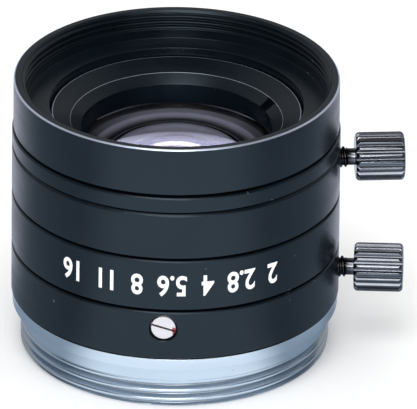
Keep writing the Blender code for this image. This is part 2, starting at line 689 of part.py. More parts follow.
def make_front_retaining_ring():
    """Threaded ring with a conical face, a nose on the front glass and two spanner notches."""
    body = FRONT_GLASS_RADIUS
    nose = FRONT_GLASS_TOP + SEAT
    ring = turned("front_retaining_ring", [
        (TUBE_RADIUS, CLAMP_TOP),
        (TUBE_RADIUS, CLAMP_TOP - CLAMP_FLANGE),
        (body, CLAMP_TOP - CLAMP_FLANGE),
        (body, nose - sag(FRONT_GLASS_CURVE, body)),
        (CLAMP_THROAT_RADIUS, nose - sag(FRONT_GLASS_CURVE, CLAMP_THROAT_RADIUS)),
        (CLAMP_THROAT_RADIUS, CLAMP_TOP - CLAMP_THROAT_DROP),
        (CLAMP_SLOPE_RADIUS, CLAMP_TOP - CLAMP_SLOPE_DROP),
    ], INNER_STEPS)
    floor = CLAMP_TOP - CLAMP_THROAT_DROP - NOTCH_DEPTH
    for side in range(2):
        notch = block(f"spanner_notch_{side + 1}",
                      (CLAMP_THROAT_RADIUS - CUT, -NOTCH_WIDTH / 2, floor),
                      (CLAMP_SLOPE_RADIUS, NOTCH_WIDTH / 2, CLAMP_TOP + CUT))
        notch.matrix_world = Matrix.Rotation(NOTCH_AZIMUTH + pi * side, 4, "Z")
        cut(ring, notch)
    return black(ring)


def make_second_lens():
    """Strong positive meniscus that stands on the septum."""
    front = bowl(SECOND_GLASS_TOP, SECOND_GLASS_CURVE, SECOND_GLASS_RADIUS)
    middle = SECOND_GLASS_BOTTOM + sag(SECOND_HOLLOW_CURVE, SECOND_GLASS_RADIUS)
    rear = bowl(middle, SECOND_HOLLOW_CURVE, SECOND_GLASS_RADIUS)
    return lens("second_lens", front, rear, SMALL_STEPS)


def make_inner_retaining_ring():
    """Threaded ring that holds the second glass down on the septum."""
    hole = SECOND_GLASS_RADIUS - INNER_RING_WALL
    nose = SECOND_GLASS_TOP + SEAT
    top = nose - sag(SECOND_GLASS_CURVE, hole) + INNER_RING_HEIGHT
    return matte_black(turned("inner_retaining_ring", [
        (SECOND_GLASS_RADIUS, top),
        (SECOND_GLASS_RADIUS, nose - sag(SECOND_GLASS_CURVE, SECOND_GLASS_RADIUS)),
        (hole, nose - sag(SECOND_GLASS_CURVE, hole)),
        (hole, top),
    ], SMALL_STEPS))


def make_rear_cell():
    """Holder of the rear glass. It screws into the lens tube and keeps the cam ring in place."""
    return matte_black(turned("rear_cell", [
        (CELL_NOSE_RADIUS, CELL_TOP),
        (CELL_NOSE_RADIUS, CELL_SHOULDER),
        (CAM_RADIUS, CELL_SHOULDER),
        (CAM_RADIUS, TUBE_REAR),
        (CELL_SPIGOT_RADIUS, TUBE_REAR),
        (CELL_SPIGOT_RADIUS, CELL_BOTTOM),
        (CELL_BORE, CELL_BOTTOM),
        (CELL_BORE, CELL_LIP_BOTTOM),
        (CELL_BORE - CELL_LIP_WIDTH, CELL_LIP_BOTTOM),
        (CELL_BORE - CELL_LIP_WIDTH, CELL_TOP),
    ], SMALL_STEPS))


def make_third_lens():
    """Negative half of the cemented pair, hollow on both sides."""
    rim = REAR_GLASS_RADIUS
    front = bowl(THIRD_GLASS_RIM - THIRD_GLASS_FALL, -THIRD_GLASS_CURVE, rim)
    rear = bowl(THIRD_GLASS_BOTTOM + CEMENTED_FALL, CEMENTED_CURVE, rim)
    return lens("third_lens", front, rear, SMALL_STEPS)


def make_fourth_lens():
    """Positive half of the cemented pair."""
    rim = REAR_GLASS_RADIUS
    front = bowl(FOURTH_GLASS_RIM + CEMENTED_FALL, CEMENTED_CURVE, rim)
    rear = bowl(FOURTH_GLASS_BOTTOM - FOURTH_GLASS_FALL, -FOURTH_GLASS_CURVE, rim)
    return lens("fourth_lens", front, rear, SMALL_STEPS)


def make_fifth_lens():
    """Positive glass nearest to the camera's sensor."""
    rim = REAR_GLASS_RADIUS
    front = bowl(FIFTH_GLASS_RIM + FIFTH_GLASS_RISE, FIFTH_FRONT_CURVE, rim)
    rear = bowl(FIFTH_GLASS_BOTTOM - sag(FIFTH_REAR_CURVE, rim), -FIFTH_REAR_CURVE, rim)
    return lens("fifth_lens", front, rear, SMALL_STEPS)


def plain_ring(name, radius, wall, bottom, top):
    """A small square-edged ring."""
    return matte_black(turned(name, [
        (radius, top),
        (radius, bottom),
        (radius - wall, bottom),
        (radius - wall, top),
    ], SMALL_STEPS))


# Iris

def blade_outline():
    """Crescent, pivot pad and tail. The pivot is at the origin and the lens axis at minus X."""
    axis = (-PIVOT_RADIUS, 0)
    middle = (BLADE_INNER + BLADE_OUTER) / 2
    tip = (axis[0] + middle * cos(BLADE_ARC), middle * sin(BLADE_ARC))
    half = (BLADE_OUTER - BLADE_INNER) / 2
    inner_edge = arc(axis, BLADE_INNER, -BLADE_HEEL / BLADE_INNER, BLADE_ARC, BLADE_POINTS)
    round_tip = arc(tip, half, BLADE_ARC + pi, BLADE_ARC, ROUND_END)
    outer_edge = arc(axis, BLADE_OUTER, BLADE_ARC, BLADE_ROOT / BLADE_OUTER, BLADE_POINTS)
    pad = arc((0, 0), BLADE_PAD, BLADE_PAD_START, 0, PAD_POINTS)
    tail = arc((0, -TAIL_LENGTH), BLADE_PAD, 0, -pi, ROUND_END)
    neck = [(-BLADE_PAD, -2 * BLADE_PAD)]
    return inner_edge + round_tip[1:-1] + outer_edge + pad + tail + neck


def make_blade(number):
    """One crescent on its own level, with a pivot pin up into the plate and a drive pin down."""
    top = TOP_BLADE - number * BLADE_PITCH
    low = top - BLADE_THICKNESS
    middle = (low + top) / 2
    blade = sheet(f"iris_blade_{number + 1}", [blade_outline()], low, top)
    join(blade, rod(f"pivot_pin_{number + 1}", PIN_RADIUS, middle, PLATE_TOP - PIN_FIT, PIN_STEPS))
    join(blade, rod(f"drive_pin_{number + 1}", PIN_RADIUS, CAM_BOTTOM + PIN_FIT, middle, PIN_STEPS,
                    (0, -TAIL_LENGTH)))
    blackened_steel(blade)
    azimuth = 2 * pi * number / BLADES
    blade.location = (PIVOT_RADIUS * cos(azimuth), PIVOT_RADIUS * sin(azimuth), 0)
    blade.rotation_euler = (0, 0, azimuth)
    return blade


def make_iris_base_plate():
    """Fixed plate with a pivot hole for each blade and the hole of the full aperture."""
    outlines = [circle((0, 0), CAM_RADIUS, INNER_STEPS), circle((0, 0), IRIS_HOLE, SMALL_STEPS)]
    for number in range(BLADES):
        azimuth = 2 * pi * number / BLADES
        pivot = (PIVOT_RADIUS * cos(azimuth), PIVOT_RADIUS * sin(azimuth))
        outlines.append(circle(pivot, PIN_RADIUS + PIN_FIT, PIN_STEPS))
    plate = sheet("iris_base_plate", outlines, PLATE_BOTTOM, PLATE_TOP)
    return matte_black(plate)


def drive_pin_path(azimuth):
    """Where a blade's drive pin runs in the turning cam ring, from open to closed."""
    path = []
    for i in range(SLOT_POINTS):
        share = i / (SLOT_POINTS - 1)
        swing = share * BLADE_SWING
        x = PIVOT_RADIUS + TAIL_LENGTH * sin(swing)
        y = -TAIL_LENGTH * cos(swing)
        turn = azimuth - share * IRIS_TURN
        path.append((x * cos(turn) - y * sin(turn), x * sin(turn) + y * cos(turn)))
    return path


def slot_outline(path, half):
    """The outline of a slot with round ends along a path."""
    sides = []
    for i, point in enumerate(path):
        before = path[max(i - 1, 0)]
        after = path[min(i + 1, len(path) - 1)]
        heading = atan2(after[1] - before[1], after[0] - before[0])
        sides.append((point, heading))
    right = [arc(p, half, h - pi / 2, h, 2)[0] for p, h in sides[1:-1]]
    left = [arc(p, half, h + pi / 2, h, 2)[0] for p, h in sides[1:-1]]
    start, start_heading = sides[0]
    stop, stop_heading = sides[-1]
    start_cap = arc(start, half, start_heading + pi / 2, start_heading + 3 * pi / 2, ROUND_END)
    stop_cap = arc(stop, half, stop_heading - pi / 2, stop_heading + pi / 2, ROUND_END)
    return start_cap + right + stop_cap + left[::-1]


def make_iris_cam_ring():
    """Turns in the lens tube. Its spiral slots swing the blades, and its fork follows the drive screw."""
    foot = CELL_SHOULDER + SEAT
    cam = turned("iris_cam_ring", [
        (CAM_RADIUS, TOP_BLADE),
        (CAM_RADIUS, foot),
        (CAM_BORE, foot),
        (CAM_BORE, CAM_BOTTOM),
        (CAM_HOLE, CAM_BOTTOM),
        (CAM_HOLE, CAM_TOP),
        (CAM_BORE, CAM_TOP),
        (CAM_BORE, TOP_BLADE),
    ], INNER_STEPS)
    slots = []
    for number in range(BLADES):
        slots.append(slot_outline(drive_pin_path(2 * pi * number / BLADES), PIN_RADIUS + PIN_FIT))
    cut(cam, sheet("cam_slots", slots, CAM_BOTTOM - CUT, CAM_TOP + CUT))
    reach = DRIVE_PIN_RADIUS + TAP_FIT
    fork = block("cam_fork", (CAM_BORE - TAP_FIT, -reach, foot - CUT),
                 (CAM_RADIUS + CUT, reach, DRIVE_HEIGHT + DRIVE_PIN_RADIUS + SLIDE))
    fork.matrix_world = Matrix.Rotation(DRIVE_AZIMUTH, 4, "Z")
    cut(cam, fork)
    return blackened_steel(cam)


# Screws

def make_lock_screw(name, azimuth, height):
    """Thumb screw: knurled head, thin neck and a threaded end that stops short of the barrel."""
    start = RING_RADIUS + LOCK_STANDOFF
    end = start + LOCK_HEAD_LENGTH
    valley = LOCK_HEAD_RADIUS - KNURL_DEPTH
    outline = []
    for i in range(2 * KNURL_TEETH):
        radius = valley if i % 2 else LOCK_HEAD_RADIUS
        angle = pi * i / KNURL_TEETH
        outline.append((radius * cos(angle), radius * sin(angle)))
    screw = sheet(name, [outline], start, end)
    shoulder = LOCK_HEAD_RADIUS - LOCK_HEAD_EDGE
    envelope = turned(name + "_envelope", [
        (0, end + CUT),
        (shoulder - CUT, end + CUT),
        (LOCK_HEAD_RADIUS + CUT, end - LOCK_HEAD_EDGE - CUT),
        (LOCK_HEAD_RADIUS + CUT, start + LOCK_HEAD_EDGE + CUT),
        (shoulder - CUT, start - CUT),
        (0, start - CUT),
    ], SMALL_STEPS)
    use_cutter(screw, envelope, "INTERSECT")
    join(screw, turned(name + "_shank", [
        (0, start + LOCK_ROOT),
        (LOCK_NECK_RADIUS, start + LOCK_ROOT),
        (LOCK_NECK_RADIUS, start - LOCK_NECK_LENGTH),
        (LOCK_THREAD_RADIUS, start - LOCK_NECK_LENGTH),
        (LOCK_THREAD_RADIUS, MAIN_RADIUS + SEAT),
        (0, MAIN_RADIUS + SEAT),
    ], SCREW_STEPS))
    dark_chrome(screw)
    screw.matrix_world = outward(azimuth, height)
    return screw


def make_iris_drive_screw():
    """Slotted screw whose pin reaches through both tubes into the cam ring's fork."""
    face = RING_RADIUS - DRIVE_HEAD_RECESS
    screw = turned("iris_drive_screw", [
        (0, face),
        (DRIVE_HEAD_RADIUS, face),
        (DRIVE_HEAD_RADIUS, face - DRIVE_HEAD_HEIGHT),
        (DRIVE_PIN_RADIUS, face - DRIVE_HEAD_HEIGHT),
        (DRIVE_PIN_RADIUS, CAM_RADIUS - DRIVE_PIN_BITE),
        (0, CAM_RADIUS - DRIVE_PIN_BITE),
    ], HEAD_STEPS)
    slot = block("driver_slot",
                 (-DRIVER_SLOT_WIDTH / 2, -DRIVE_HEAD_RADIUS - CUT, face - DRIVER_SLOT_DEPTH),
                 (DRIVER_SLOT_WIDTH / 2, DRIVE_HEAD_RADIUS + CUT, face + CUT))
    slot.matrix_world = Matrix.Rotation(DRIVER_SLOT_TILT, 4, "Z")
    cut(screw, slot)
    silver(screw)
    screw.matrix_world = outward(DRIVE_AZIMUTH, DRIVE_HEIGHT)
    return screw


def make_guide_screw():
    """Screw in the main barrel whose pin slides in the lens tube's slot."""
    face = MAIN_RADIUS - TAP_FIT
    screw = turned("guide_screw", [
        (0, face),
        (GUIDE_HEAD_RADIUS, face),
        (GUIDE_HEAD_RADIUS, face - GUIDE_HEAD_HEIGHT),
        (GUIDE_PIN_RADIUS, face - GUIDE_HEAD_HEIGHT),
        (GUIDE_PIN_RADIUS, MAIN_BORE - SLIDE - GUIDE_PIN_BITE),
        (0, MAIN_BORE - SLIDE - GUIDE_PIN_BITE),
    ], SCREW_STEPS)
    steel(screw)
    screw.matrix_world = outward(GUIDE_AZIMUTH, GUIDE_HEIGHT)
    return screw


# Assembly

def carrier(name, parent, pieces):
    """An empty on the lens axis that carries the pieces of one moving body."""
    empty = bpy.data.objects.new(name, None)
    empty.empty_display_size = CARRIER_SIZE
    MODEL.objects.link(empty)
    empty.parent = parent
    for piece in pieces:
        piece.parent = empty
    return empty


def main():
    """Makes every piece and hangs it on what carries it."""
    mount = carrier("mount_body", None, [
        make_c_mount_ring(),
        make_main_barrel(),
        make_scale_band(),
        make_guide_screw(),
    ])
    carrier("focus_body", mount, [
        make_focus_ring(),
        make_helicoid_ring(),
        make_lock_screw("focus_lock_screw", FOCUS_LOCK_AZIMUTH, FOCUS_LOCK_HEIGHT),
    ])
    carrier("iris_ring_body", mount, [
        make_iris_ring(),
        make_iris_drive_screw(),
        make_lock_screw("iris_lock_screw", IRIS_LOCK_AZIMUTH, IRIS_LOCK_HEIGHT),
    ])
    slide = carrier("lens_slide_body", mount, [
        make_front_barrel(),
        make_lens_tube(),
        make_front_retaining_ring(),
        make_front_lens(),
        make_inner_retaining_ring(),
        make_second_lens(),
        make_iris_base_plate(),
        make_rear_cell(),
        make_third_lens(),
        make_fourth_lens(),
        plain_ring("rear_spacer", REAR_GLASS_RADIUS, SPACER_WALL, SPACER_BOTTOM, SPACER_TOP),
        make_fifth_lens(),
        plain_ring("rear_retaining_ring", REAR_GLASS_RADIUS, REAR_RING_WALL, CELL_BOTTOM, REAR_RING_TOP),
    ])
    carrier("iris_cam_body", slide, [make_iris_cam_ring()])
    carrier("iris_blades", slide, [make_blade(number) for number in range(BLADES)])


main()
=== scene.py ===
# %% [markdown]
# # A C-mount lens, dressed for its photograph
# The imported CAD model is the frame: it says where each ring, screw and glass sits and what moves with
# what. Its round pieces have only a few facets, so most are made again here as fine turned surfaces, with
# their threads, knurls and broken edges, and given the finishes of the real lens.

import bmesh
import bpy
import numpy as np
from mathutils import Matrix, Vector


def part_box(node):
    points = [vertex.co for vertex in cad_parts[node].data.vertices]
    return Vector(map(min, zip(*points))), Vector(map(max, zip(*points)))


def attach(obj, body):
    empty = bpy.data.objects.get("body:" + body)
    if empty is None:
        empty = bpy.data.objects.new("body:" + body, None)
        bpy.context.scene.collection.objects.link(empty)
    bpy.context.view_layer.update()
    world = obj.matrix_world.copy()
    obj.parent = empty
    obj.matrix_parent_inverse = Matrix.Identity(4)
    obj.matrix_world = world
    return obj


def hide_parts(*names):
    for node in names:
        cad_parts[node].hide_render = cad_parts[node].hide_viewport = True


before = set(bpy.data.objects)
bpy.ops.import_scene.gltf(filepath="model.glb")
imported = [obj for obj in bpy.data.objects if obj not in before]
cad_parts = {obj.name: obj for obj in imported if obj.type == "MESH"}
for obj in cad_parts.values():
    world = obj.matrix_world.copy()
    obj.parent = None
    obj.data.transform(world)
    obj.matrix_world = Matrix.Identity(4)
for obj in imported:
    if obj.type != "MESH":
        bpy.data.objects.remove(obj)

MM = 0.001
TURN = 2 * np.pi
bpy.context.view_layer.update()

# %% [markdown]
# ## Camera
# The photograph was taken from far away with a long lens: the circles of the rings are seen as ellipses
# of nearly the same shape, from 26.6 degrees above. Distance, focal length and the slight roll were
# worked out from where the rims and seams fall in the picture.

# %% Camera
ELEVATION = np.radians(26.595)
ROLL = np.radians(0.619)
TARGET = np.array([2.701, 0, 12.249]) * MM
DISTANCE = 1357.1 * MM
FAR_LIMIT = 10
FOCAL_LENGTH = 1423.4  # camera settings in Blender are in millimetres
SENSOR = 36


def aim_camera():
    """A camera that looks along +Y and down, turned a little about its own line of sight."""
    back = np.array([0, -np.cos(ELEVATION), np.sin(ELEVATION)])
    up = np.array([0, np.sin(ELEVATION), np.cos(ELEVATION)])
    right = np.array([1, 0, 0])
    turn = np.eye(4)
    turn[:3, 0] = right * np.cos(ROLL) + up * np.sin(ROLL)
    turn[:3, 1] = up * np.cos(ROLL) - right * np.sin(ROLL)
    turn[:3, 2] = back
    turn[:3, 3] = TARGET + back * DISTANCE
    camera = bpy.data.objects.new("camera", bpy.data.cameras.new("camera"))
    bpy.context.scene.collection.objects.link(camera)
    camera.matrix_world = Matrix(turn.tolist())
    camera.data.lens = FOCAL_LENGTH
    camera.data.sensor_width = SENSOR
    camera.data.clip_end = FAR_LIMIT
    bpy.context.scene.camera = camera
    return camera


camera = aim_camera()
bpy.context.scene.view_settings.view_transform = "Standard"
print("camera at", np.round(np.array(camera.location) / MM, 1), "mm")

# %% [markdown]
# ## Nodes in a few words
# A finish is a small network of nodes. One helper adds a node and one sets its inputs. The others use
# them for a sum, a smooth step, a mix of two colours or a soft noise. Patterns are placed by Object
# coordinates, which belong to the piece, so a pattern stays on the metal as it turns.

# %% Node helpers


def feed(tree, node, **inputs):
    """Gives a node its inputs by name or number: a socket is joined, a number or colour is set."""
    for name, value in inputs.items():
        socket = node.inputs[int(name[1:])] if name[1:].isdigit() else node.inputs[name.replace("_", " ")]
        if isinstance(value, bpy.types.NodeSocket):
            tree.links.new(value, socket)
        else:
            socket.default_value = value


def add(tree, kind, settings=None, **inputs):
    """Adds a node with its settings and inputs."""
    node = tree.nodes.new(kind)
    for name, value in (settings or {}).items():
        setattr(node, name, value)
    feed(tree, node, **inputs)
    return node


def math(tree, operation, first, second=0.0):
    """One sum, product or comparison of two values."""
    return add(tree, "ShaderNodeMath", {"operation": operation}, _0=first, _1=second).outputs[0]


def times(tree, first, second):
    """The product of two values."""
    return math(tree, "MULTIPLY", first, second)


def ramp(tree, value, start, stop, low=0.0, high=1.0):
    """Maps a value between start and stop smoothly to low and high."""
    node = add(tree, "ShaderNodeMapRange", {"interpolation_type": "SMOOTHSTEP"}, Value=value,
               From_Min=start, From_Max=stop, To_Min=low, To_Max=high)
    return node.outputs[0]


def blend(tree, share, first, second):
    """Mixes two colours."""
    node = add(tree, "ShaderNodeMix", {"data_type": "RGBA"}, _0=share, _6=first, _7=second)
    return node.outputs[2]


def noise(tree, place, scale, detail=2.0, roughness=0.5):
    """Soft random values from 0 to 1, with about this many waves a metre."""
    node = add(tree, "ShaderNodeTexNoise", Vector=place, Scale=scale, Detail=detail, Roughness=roughness)
    return node.outputs[0]


def object_place(tree):
    """Where a point lies on its piece, in metres."""
    return add(tree, "ShaderNodeTexCoord").outputs["Object"]


def split(tree, place):
    """A place as its three numbers."""
    return add(tree, "ShaderNodeSeparateXYZ", Vector=place).outputs


# %% [markdown]
# An effect that several finishes share is built once, as a node group with named inputs and outputs, and
# placed in each of them with its own values.

# %% Node groups


def open_group(name, inputs, outputs):
    """A node group of plain numbers, with the sockets that come in and those that go out."""
    group = bpy.data.node_groups.new(name, "ShaderNodeTree")
    for label, value in inputs.items():
        group.interface.new_socket(label, in_out="INPUT", socket_type="NodeSocketFloat").default_value = value
    for label in outputs:
        group.interface.new_socket(label, in_out="OUTPUT", socket_type="NodeSocketFloat")
    return group, group.nodes.new("NodeGroupInput").outputs, group.nodes.new("NodeGroupOutput").inputs


def use(tree, group, **inputs):
    """Places a group in a material and returns its outputs."""
    return add(tree, "ShaderNodeGroup", {"node_tree": group}, **inputs).outputs


# %% [markdown]
# ## Lathe lines
# Turned metal keeps the fine lines of the tool, which run round the axis. A noise that is dense across
# them and slow along them draws such lines. Height and radius are added up, so that both the walls and
# the flat faces get them.

# %% Lathe lines
RADIUS_SHARE = 0.83
SLOW_WAY = 40.0
BROAD_WAY = (1, 1, 0.12)


def make_lathe_lines():
    """Noise of height plus a share of the radius, nearly constant round the axis, fine and broad."""
    group, given, out = open_group("lathe lines", {"Per metre": 5000.0}, ["Height", "Streak"])
    x, y, z = split(group, object_place(group))
    flat = add(group, "ShaderNodeCombineXYZ", X=x, Y=y).outputs[0]
    radius = add(group, "ShaderNodeVectorMath", {"operation": "LENGTH"}, _0=flat).outputs["Value"]
    across = math(group, "ADD", z, times(group, radius, RADIUS_SHARE))
    where = add(group, "ShaderNodeCombineXYZ", X=times(group, x, SLOW_WAY),
                Y=times(group, y, SLOW_WAY),
                Z=times(group, across, given["Per metre"])).outputs[0]
    group.links.new(noise(group, where, 1.0, 3.0, 0.6), out["Height"])
    broad = add(group, "ShaderNodeVectorMath", {"operation": "MULTIPLY"}, _0=where, _1=BROAD_WAY).outputs[0]
    group.links.new(ramp(group, noise(group, broad, 1.0), 0.35, 0.65), out["Streak"])
    return group


lathe_lines = make_lathe_lines()
print("lathe lines:", len(lathe_lines.nodes), "nodes")

# %% [markdown]
# ## Grain, wear on edges, painted highlight lines and dust
# Anodising bites a fine grain into the metal and takes a little unevenly. Handling wears the black off
# the broken edges in small flecks. Each piece marks its edges with an attribute: up to 1 gives flecks, and
# above 1 the metal is bare along the whole edge: partly wear, partly a painted highlight line. A few specks
# of dust keep large faces from looking new.

# %% Grain


def make_grain():
    """Fine round noise for the bite of the anodising, and a slow one for uneven colour."""
    group, given, out = open_group("grain", {"Per metre": 9000.0}, ["Height", "Patch"])
    place = object_place(group)
    group.links.new(noise(group, place, given["Per metre"], 4.0), out["Height"])
    group.links.new(ramp(group, noise(group, place, 230.0, 3.0, 0.55), 0.3, 0.7), out["Patch"])
    return group


grain = make_grain()
print("grain:", len(grain.nodes), "nodes")

# %% Edge wear and painted highlight lines
FLECKS_PER_METRE = 900.0


def make_edge_wear_and_highlight():
    """The edge mark times the noise above a limit that falls with the amount, or bare metal above 1: a
    painted highlight line as well as wear.
    """
    group, given, out = open_group("edge wear and highlight lines", {"Amount": 0.5}, ["Mask"])
    edge = add(group, "ShaderNodeAttribute", {"attribute_name": "edge"}).outputs["Fac"]
    patch = noise(group, object_place(group), FLECKS_PER_METRE, 5.0, 0.7)
    limit = math(group, "SUBTRACT", 0.78, times(group, given["Amount"], 0.3))
    fleck = ramp(group, math(group, "SUBTRACT", patch, limit), 0.0, 0.06)
    # above 1 the edge is bare metal all along: partly wear, partly a painted highlight line
    bare = ramp(group, edge, 1.0, 1.6)
    group.links.new(math(group, "MAXIMUM", times(group, edge, fleck), bare), out["Mask"])
    return group


edge_wear_and_highlight = make_edge_wear_and_highlight()
print("edge wear and highlight lines:", len(edge_wear_and_highlight.nodes), "nodes")

# %% Dust


def make_dust():
    """The centres of a cell pattern, kept only where a slow noise is high: a few pale specks."""
    group, given, out = open_group("dust", {"Per metre": 420.0, "Size": 0.05}, ["Mask"])
    place = object_place(group)
    cells = add(group, "ShaderNodeTexVoronoi", Vector=place, Scale=given["Per metre"]).outputs
    near = math(group, "LESS_THAN", cells["Distance"], given["Size"])
    chosen = ramp(group, noise(group, place, 160.0), 0.5, 0.6)
    group.links.new(times(group, near, chosen), out["Mask"])
    return group


dust = make_dust()
print("dust:", len(dust.nodes), "nodes")

# %% [markdown]
# ## Black anodised rings
# The rings are black anodised aluminium: a near-black blue that looks pale only where it is seen at a
# flat angle, because a smooth surface mirrors more there. The inside of the lens has a duller black that
# swallows stray light. Both are one recipe with its own values, kept under the record's slot names.

# %% Anodised finishes
PALE_DUST = (0.5, 0.5, 0.52, 1)
COOL_TINT = (0.70, 0.87, 1.0, 1)


def start_finish(name):
    """A new material with its shader."""
    material = bpy.data.materials.new(name)
    material.use_nodes = True
    tree = material.node_tree
    return material, tree, tree.nodes["Principled BSDF"]


def roughen(tree, shader, tool, bite, bite_share, distance):
    """Bends the shader's normal with the tool lines plus a share of the grain."""
    total = math(tree, "ADD", tool["Height"], times(tree, bite["Height"], bite_share))
    bump = add(tree, "ShaderNodeBump", Strength=1.0, Distance=distance, Height=total)
    feed(tree, shader, Normal=bump.outputs[0])


def make_anodised(name, colour, worn_and_highlight, roughness, specular, wear, lines, relief):
    """Anodised aluminium: dark colour with patches, tool lines, flecks of wear and lines of bare metal along
    edges that are painted highlights as well as wear, and a little dust.
    """
    material, tree, shader = start_finish(name)
    tool = use(tree, lathe_lines, Per_metre=lines)
    bite = use(tree, grain)
    # flecks of wear on edges, and bare metal lines along marked edges: painted highlights as well as wear
    wear_and_highlight = use(tree, edge_wear_and_highlight, Amount=wear)["Mask"]
    specks = use(tree, dust)["Mask"]
    deep = tuple(0.72 * value for value in colour) + (1,)
    base = blend(tree, bite["Patch"], deep, (*colour, 1))
    base = blend(tree, wear_and_highlight, base, (*worn_and_highlight, 1))
    base = blend(tree, times(tree, specks, 0.12), base, PALE_DUST)
    rough = math(tree, "ADD", times(tree, bite["Patch"], 0.05), roughness)
    rough = math(tree, "ADD", rough, times(tree, tool["Streak"], 0.07))
    feed(tree, shader, Base_Color=base, Roughness=rough, Metallic=times(tree, wear_and_highlight, 0.8),
         Specular_IOR_Level=specular, Specular_Tint=COOL_TINT)
    roughen(tree, shader, tool, bite, 0.7, relief)
    return material


finishes = {
    # the bare metal colour serves the flecks of wear and the painted highlight lines along edges
    "black_anodised": make_anodised(
        "black anodised", colour=(0.003, 0.006, 0.010), worn_and_highlight=(0.62, 0.68, 0.82), roughness=0.25,
        specular=0.47, wear=0.4, lines=5200.0, relief=0.0010 * MM),
    "matte_black": make_anodised(
        "matte black", colour=(0.004, 0.005, 0.007), worn_and_highlight=(0.2, 0.2, 0.22), roughness=0.5,
        specular=0.3, wear=0.15, lines=3800.0, relief=0.004 * MM),
}
print("anodised finishes:", ", ".join(finishes))

# %% [markdown]
# ## Bright metals
# The plated camera ring, the black nickel thumb screws, the bright screws and the dark iris blades share
# one recipe: a metal with darker streaks round the axis. Grooves, slots and screw shanks are blended towards
# near-black: painted shade where little light gets in, with some dirt. Each piece gives where and how much
# in an attribute.

# %% Bright metal finishes
DARK_DUST = (0.12, 0.13, 0.15, 1)
# near-black for painted shade with some dirt in marked grooves, slots and screw shanks
SHADE_AND_DIRT_COLOUR = (0.02, 0.018, 0.018, 1)


def make_bright_metal(name, colour, dark, roughness, lines, relief):
    """Turned and plated metal: pale, with darker streaks round the axis, and near-black where it is marked:
    painted shade, with some dirt.
    """
    material, tree, shader = start_finish(name)
    tool = use(tree, lathe_lines, Per_metre=lines)
    bite = use(tree, grain, Per_metre=5000.0)
    specks = use(tree, dust, Per_metre=700.0, Size=0.06)["Mask"]
    shade_and_dirt_mask = add(tree, "ShaderNodeAttribute", {"attribute_name": "shade_and_dirt"}).outputs["Fac"]
    base = blend(tree, times(tree, tool["Streak"], 0.45), (*colour, 1), (*dark, 1))
    base = blend(tree, times(tree, specks, 0.6), base, DARK_DUST)
    # painted shade with some dirt: marked grooves, slots and shanks blend towards near-black
    base = blend(tree, times(tree, shade_and_dirt_mask, 0.93), base, SHADE_AND_DIRT_COLOUR)
    rough = math(tree, "ADD", times(tree, bite["Patch"], 0.08), roughness)
    feed(tree, shader, Base_Color=base, Metallic=1.0, Roughness=rough)
    roughen(tree, shader, tool, bite, 0.4, relief)
    return material


finishes["silver_mount"] = make_bright_metal(
    "silver mount", colour=(0.75, 0.81, 0.87), dark=(0.52, 0.58, 0.66), roughness=0.15,
    lines=4200.0, relief=0.0010 * MM)
finishes["black_nickel"] = make_bright_metal(
    "black nickel", colour=(0.20, 0.21, 0.235), dark=(0.09, 0.095, 0.115), roughness=0.13,
    lines=2600.0, relief=0.0010 * MM)
finishes["steel"] = make_bright_metal(
    "steel", colour=(0.90, 0.81, 0.79), dark=(0.62, 0.55, 0.54), roughness=0.24,
    lines=3600.0, relief=0.002 * MM)
finishes["blade_steel"] = make_bright_metal(
    "blade steel", colour=(0.055, 0.056, 0.065), dark=(0.03, 0.03, 0.036), roughness=0.36,
    lines=3000.0, relief=0.001 * MM)
print("metal finishes:", ", ".join(finishes))

# %% [markdown]
# A trace of red sealing paint sits at one end of the bright screw's slot. It is painted by distance: what
# lies nearer to its middle than a noisy reach is red, and the metal there becomes paint.

# %% Sealing paint
PAINT_PLACE = (0.03 * MM, -13.38 * MM, 7.34 * MM)
PAINT_REACH = 0.3 * MM
PAINT_EDGE = 0.08 * MM
SEALING_RED = (0.30, 0.03, 0.04, 1)


def add_paint_trace(material, middle, reach):
    """A ragged dab round one point: noise times twice the reach, less the distance from the middle."""
    tree = material.node_tree
    shader = tree.nodes["Principled BSDF"]
    under = shader.inputs["Base Color"].links[0].from_socket
    place = object_place(tree)
    away = add(tree, "ShaderNodeVectorMath", {"operation": "DISTANCE"}, _0=place, _1=middle).outputs["Value"]
    ragged = times(tree, noise(tree, place, 3500.0, 3.0), 2 * reach)
    dab = ramp(tree, math(tree, "SUBTRACT", ragged, away), 0.0, PAINT_EDGE)
    feed(tree, shader, Base_Color=blend(tree, dab, under, SEALING_RED),
         Metallic=math(tree, "SUBTRACT", 1.0, dab))


add_paint_trace(finishes["steel"], PAINT_PLACE, PAINT_REACH)
print("steel now has", len(finishes["steel"].node_tree.nodes), "nodes")

# %% [markdown]
# ## Glass and ink
# Glass is clear, and a thin coating makes its reflection violet. The front glass has a rim that is ground
# and not polished, and seen through the front it makes a grey zone at the glass's edge. The ink of the
# dial numbers is a matt white, a little grey where it is thin.

# %% Coated glass
COATING_INDEX = 1.38


def make_coated_glass(name, tint, index, film):
    """Clear glass. The film's thickness in nanometres sets the colour of the reflection."""
    material, tree, shader = start_finish(name)
    patch = use(tree, grain, Per_metre=300.0)["Patch"]
    pale = (0.97 * tint[0], 0.97 * tint[1], 0.97 * tint[2], 1)
    feed(tree, shader, Base_Color=blend(tree, patch, pale, (*tint, 1)), Roughness=0.0,
         Transmission_Weight=1.0, IOR=index, Thin_Film_Thickness=film, Thin_Film_IOR=COATING_INDEX)
    return material


front_glass = make_coated_glass("front glass", tint=(0.97, 0.96, 1.0), index=1.62, film=135.0)
inner_glass = make_coated_glass("inner glass", tint=(0.95, 0.97, 1.0), index=1.55, film=130.0)
print("glass:", front_glass.name, "and", inner_glass.name)

# %% Ground edge and white ink
GROUND_LOW = 14.7 * MM
GROUND_HIGH = 17.3 * MM


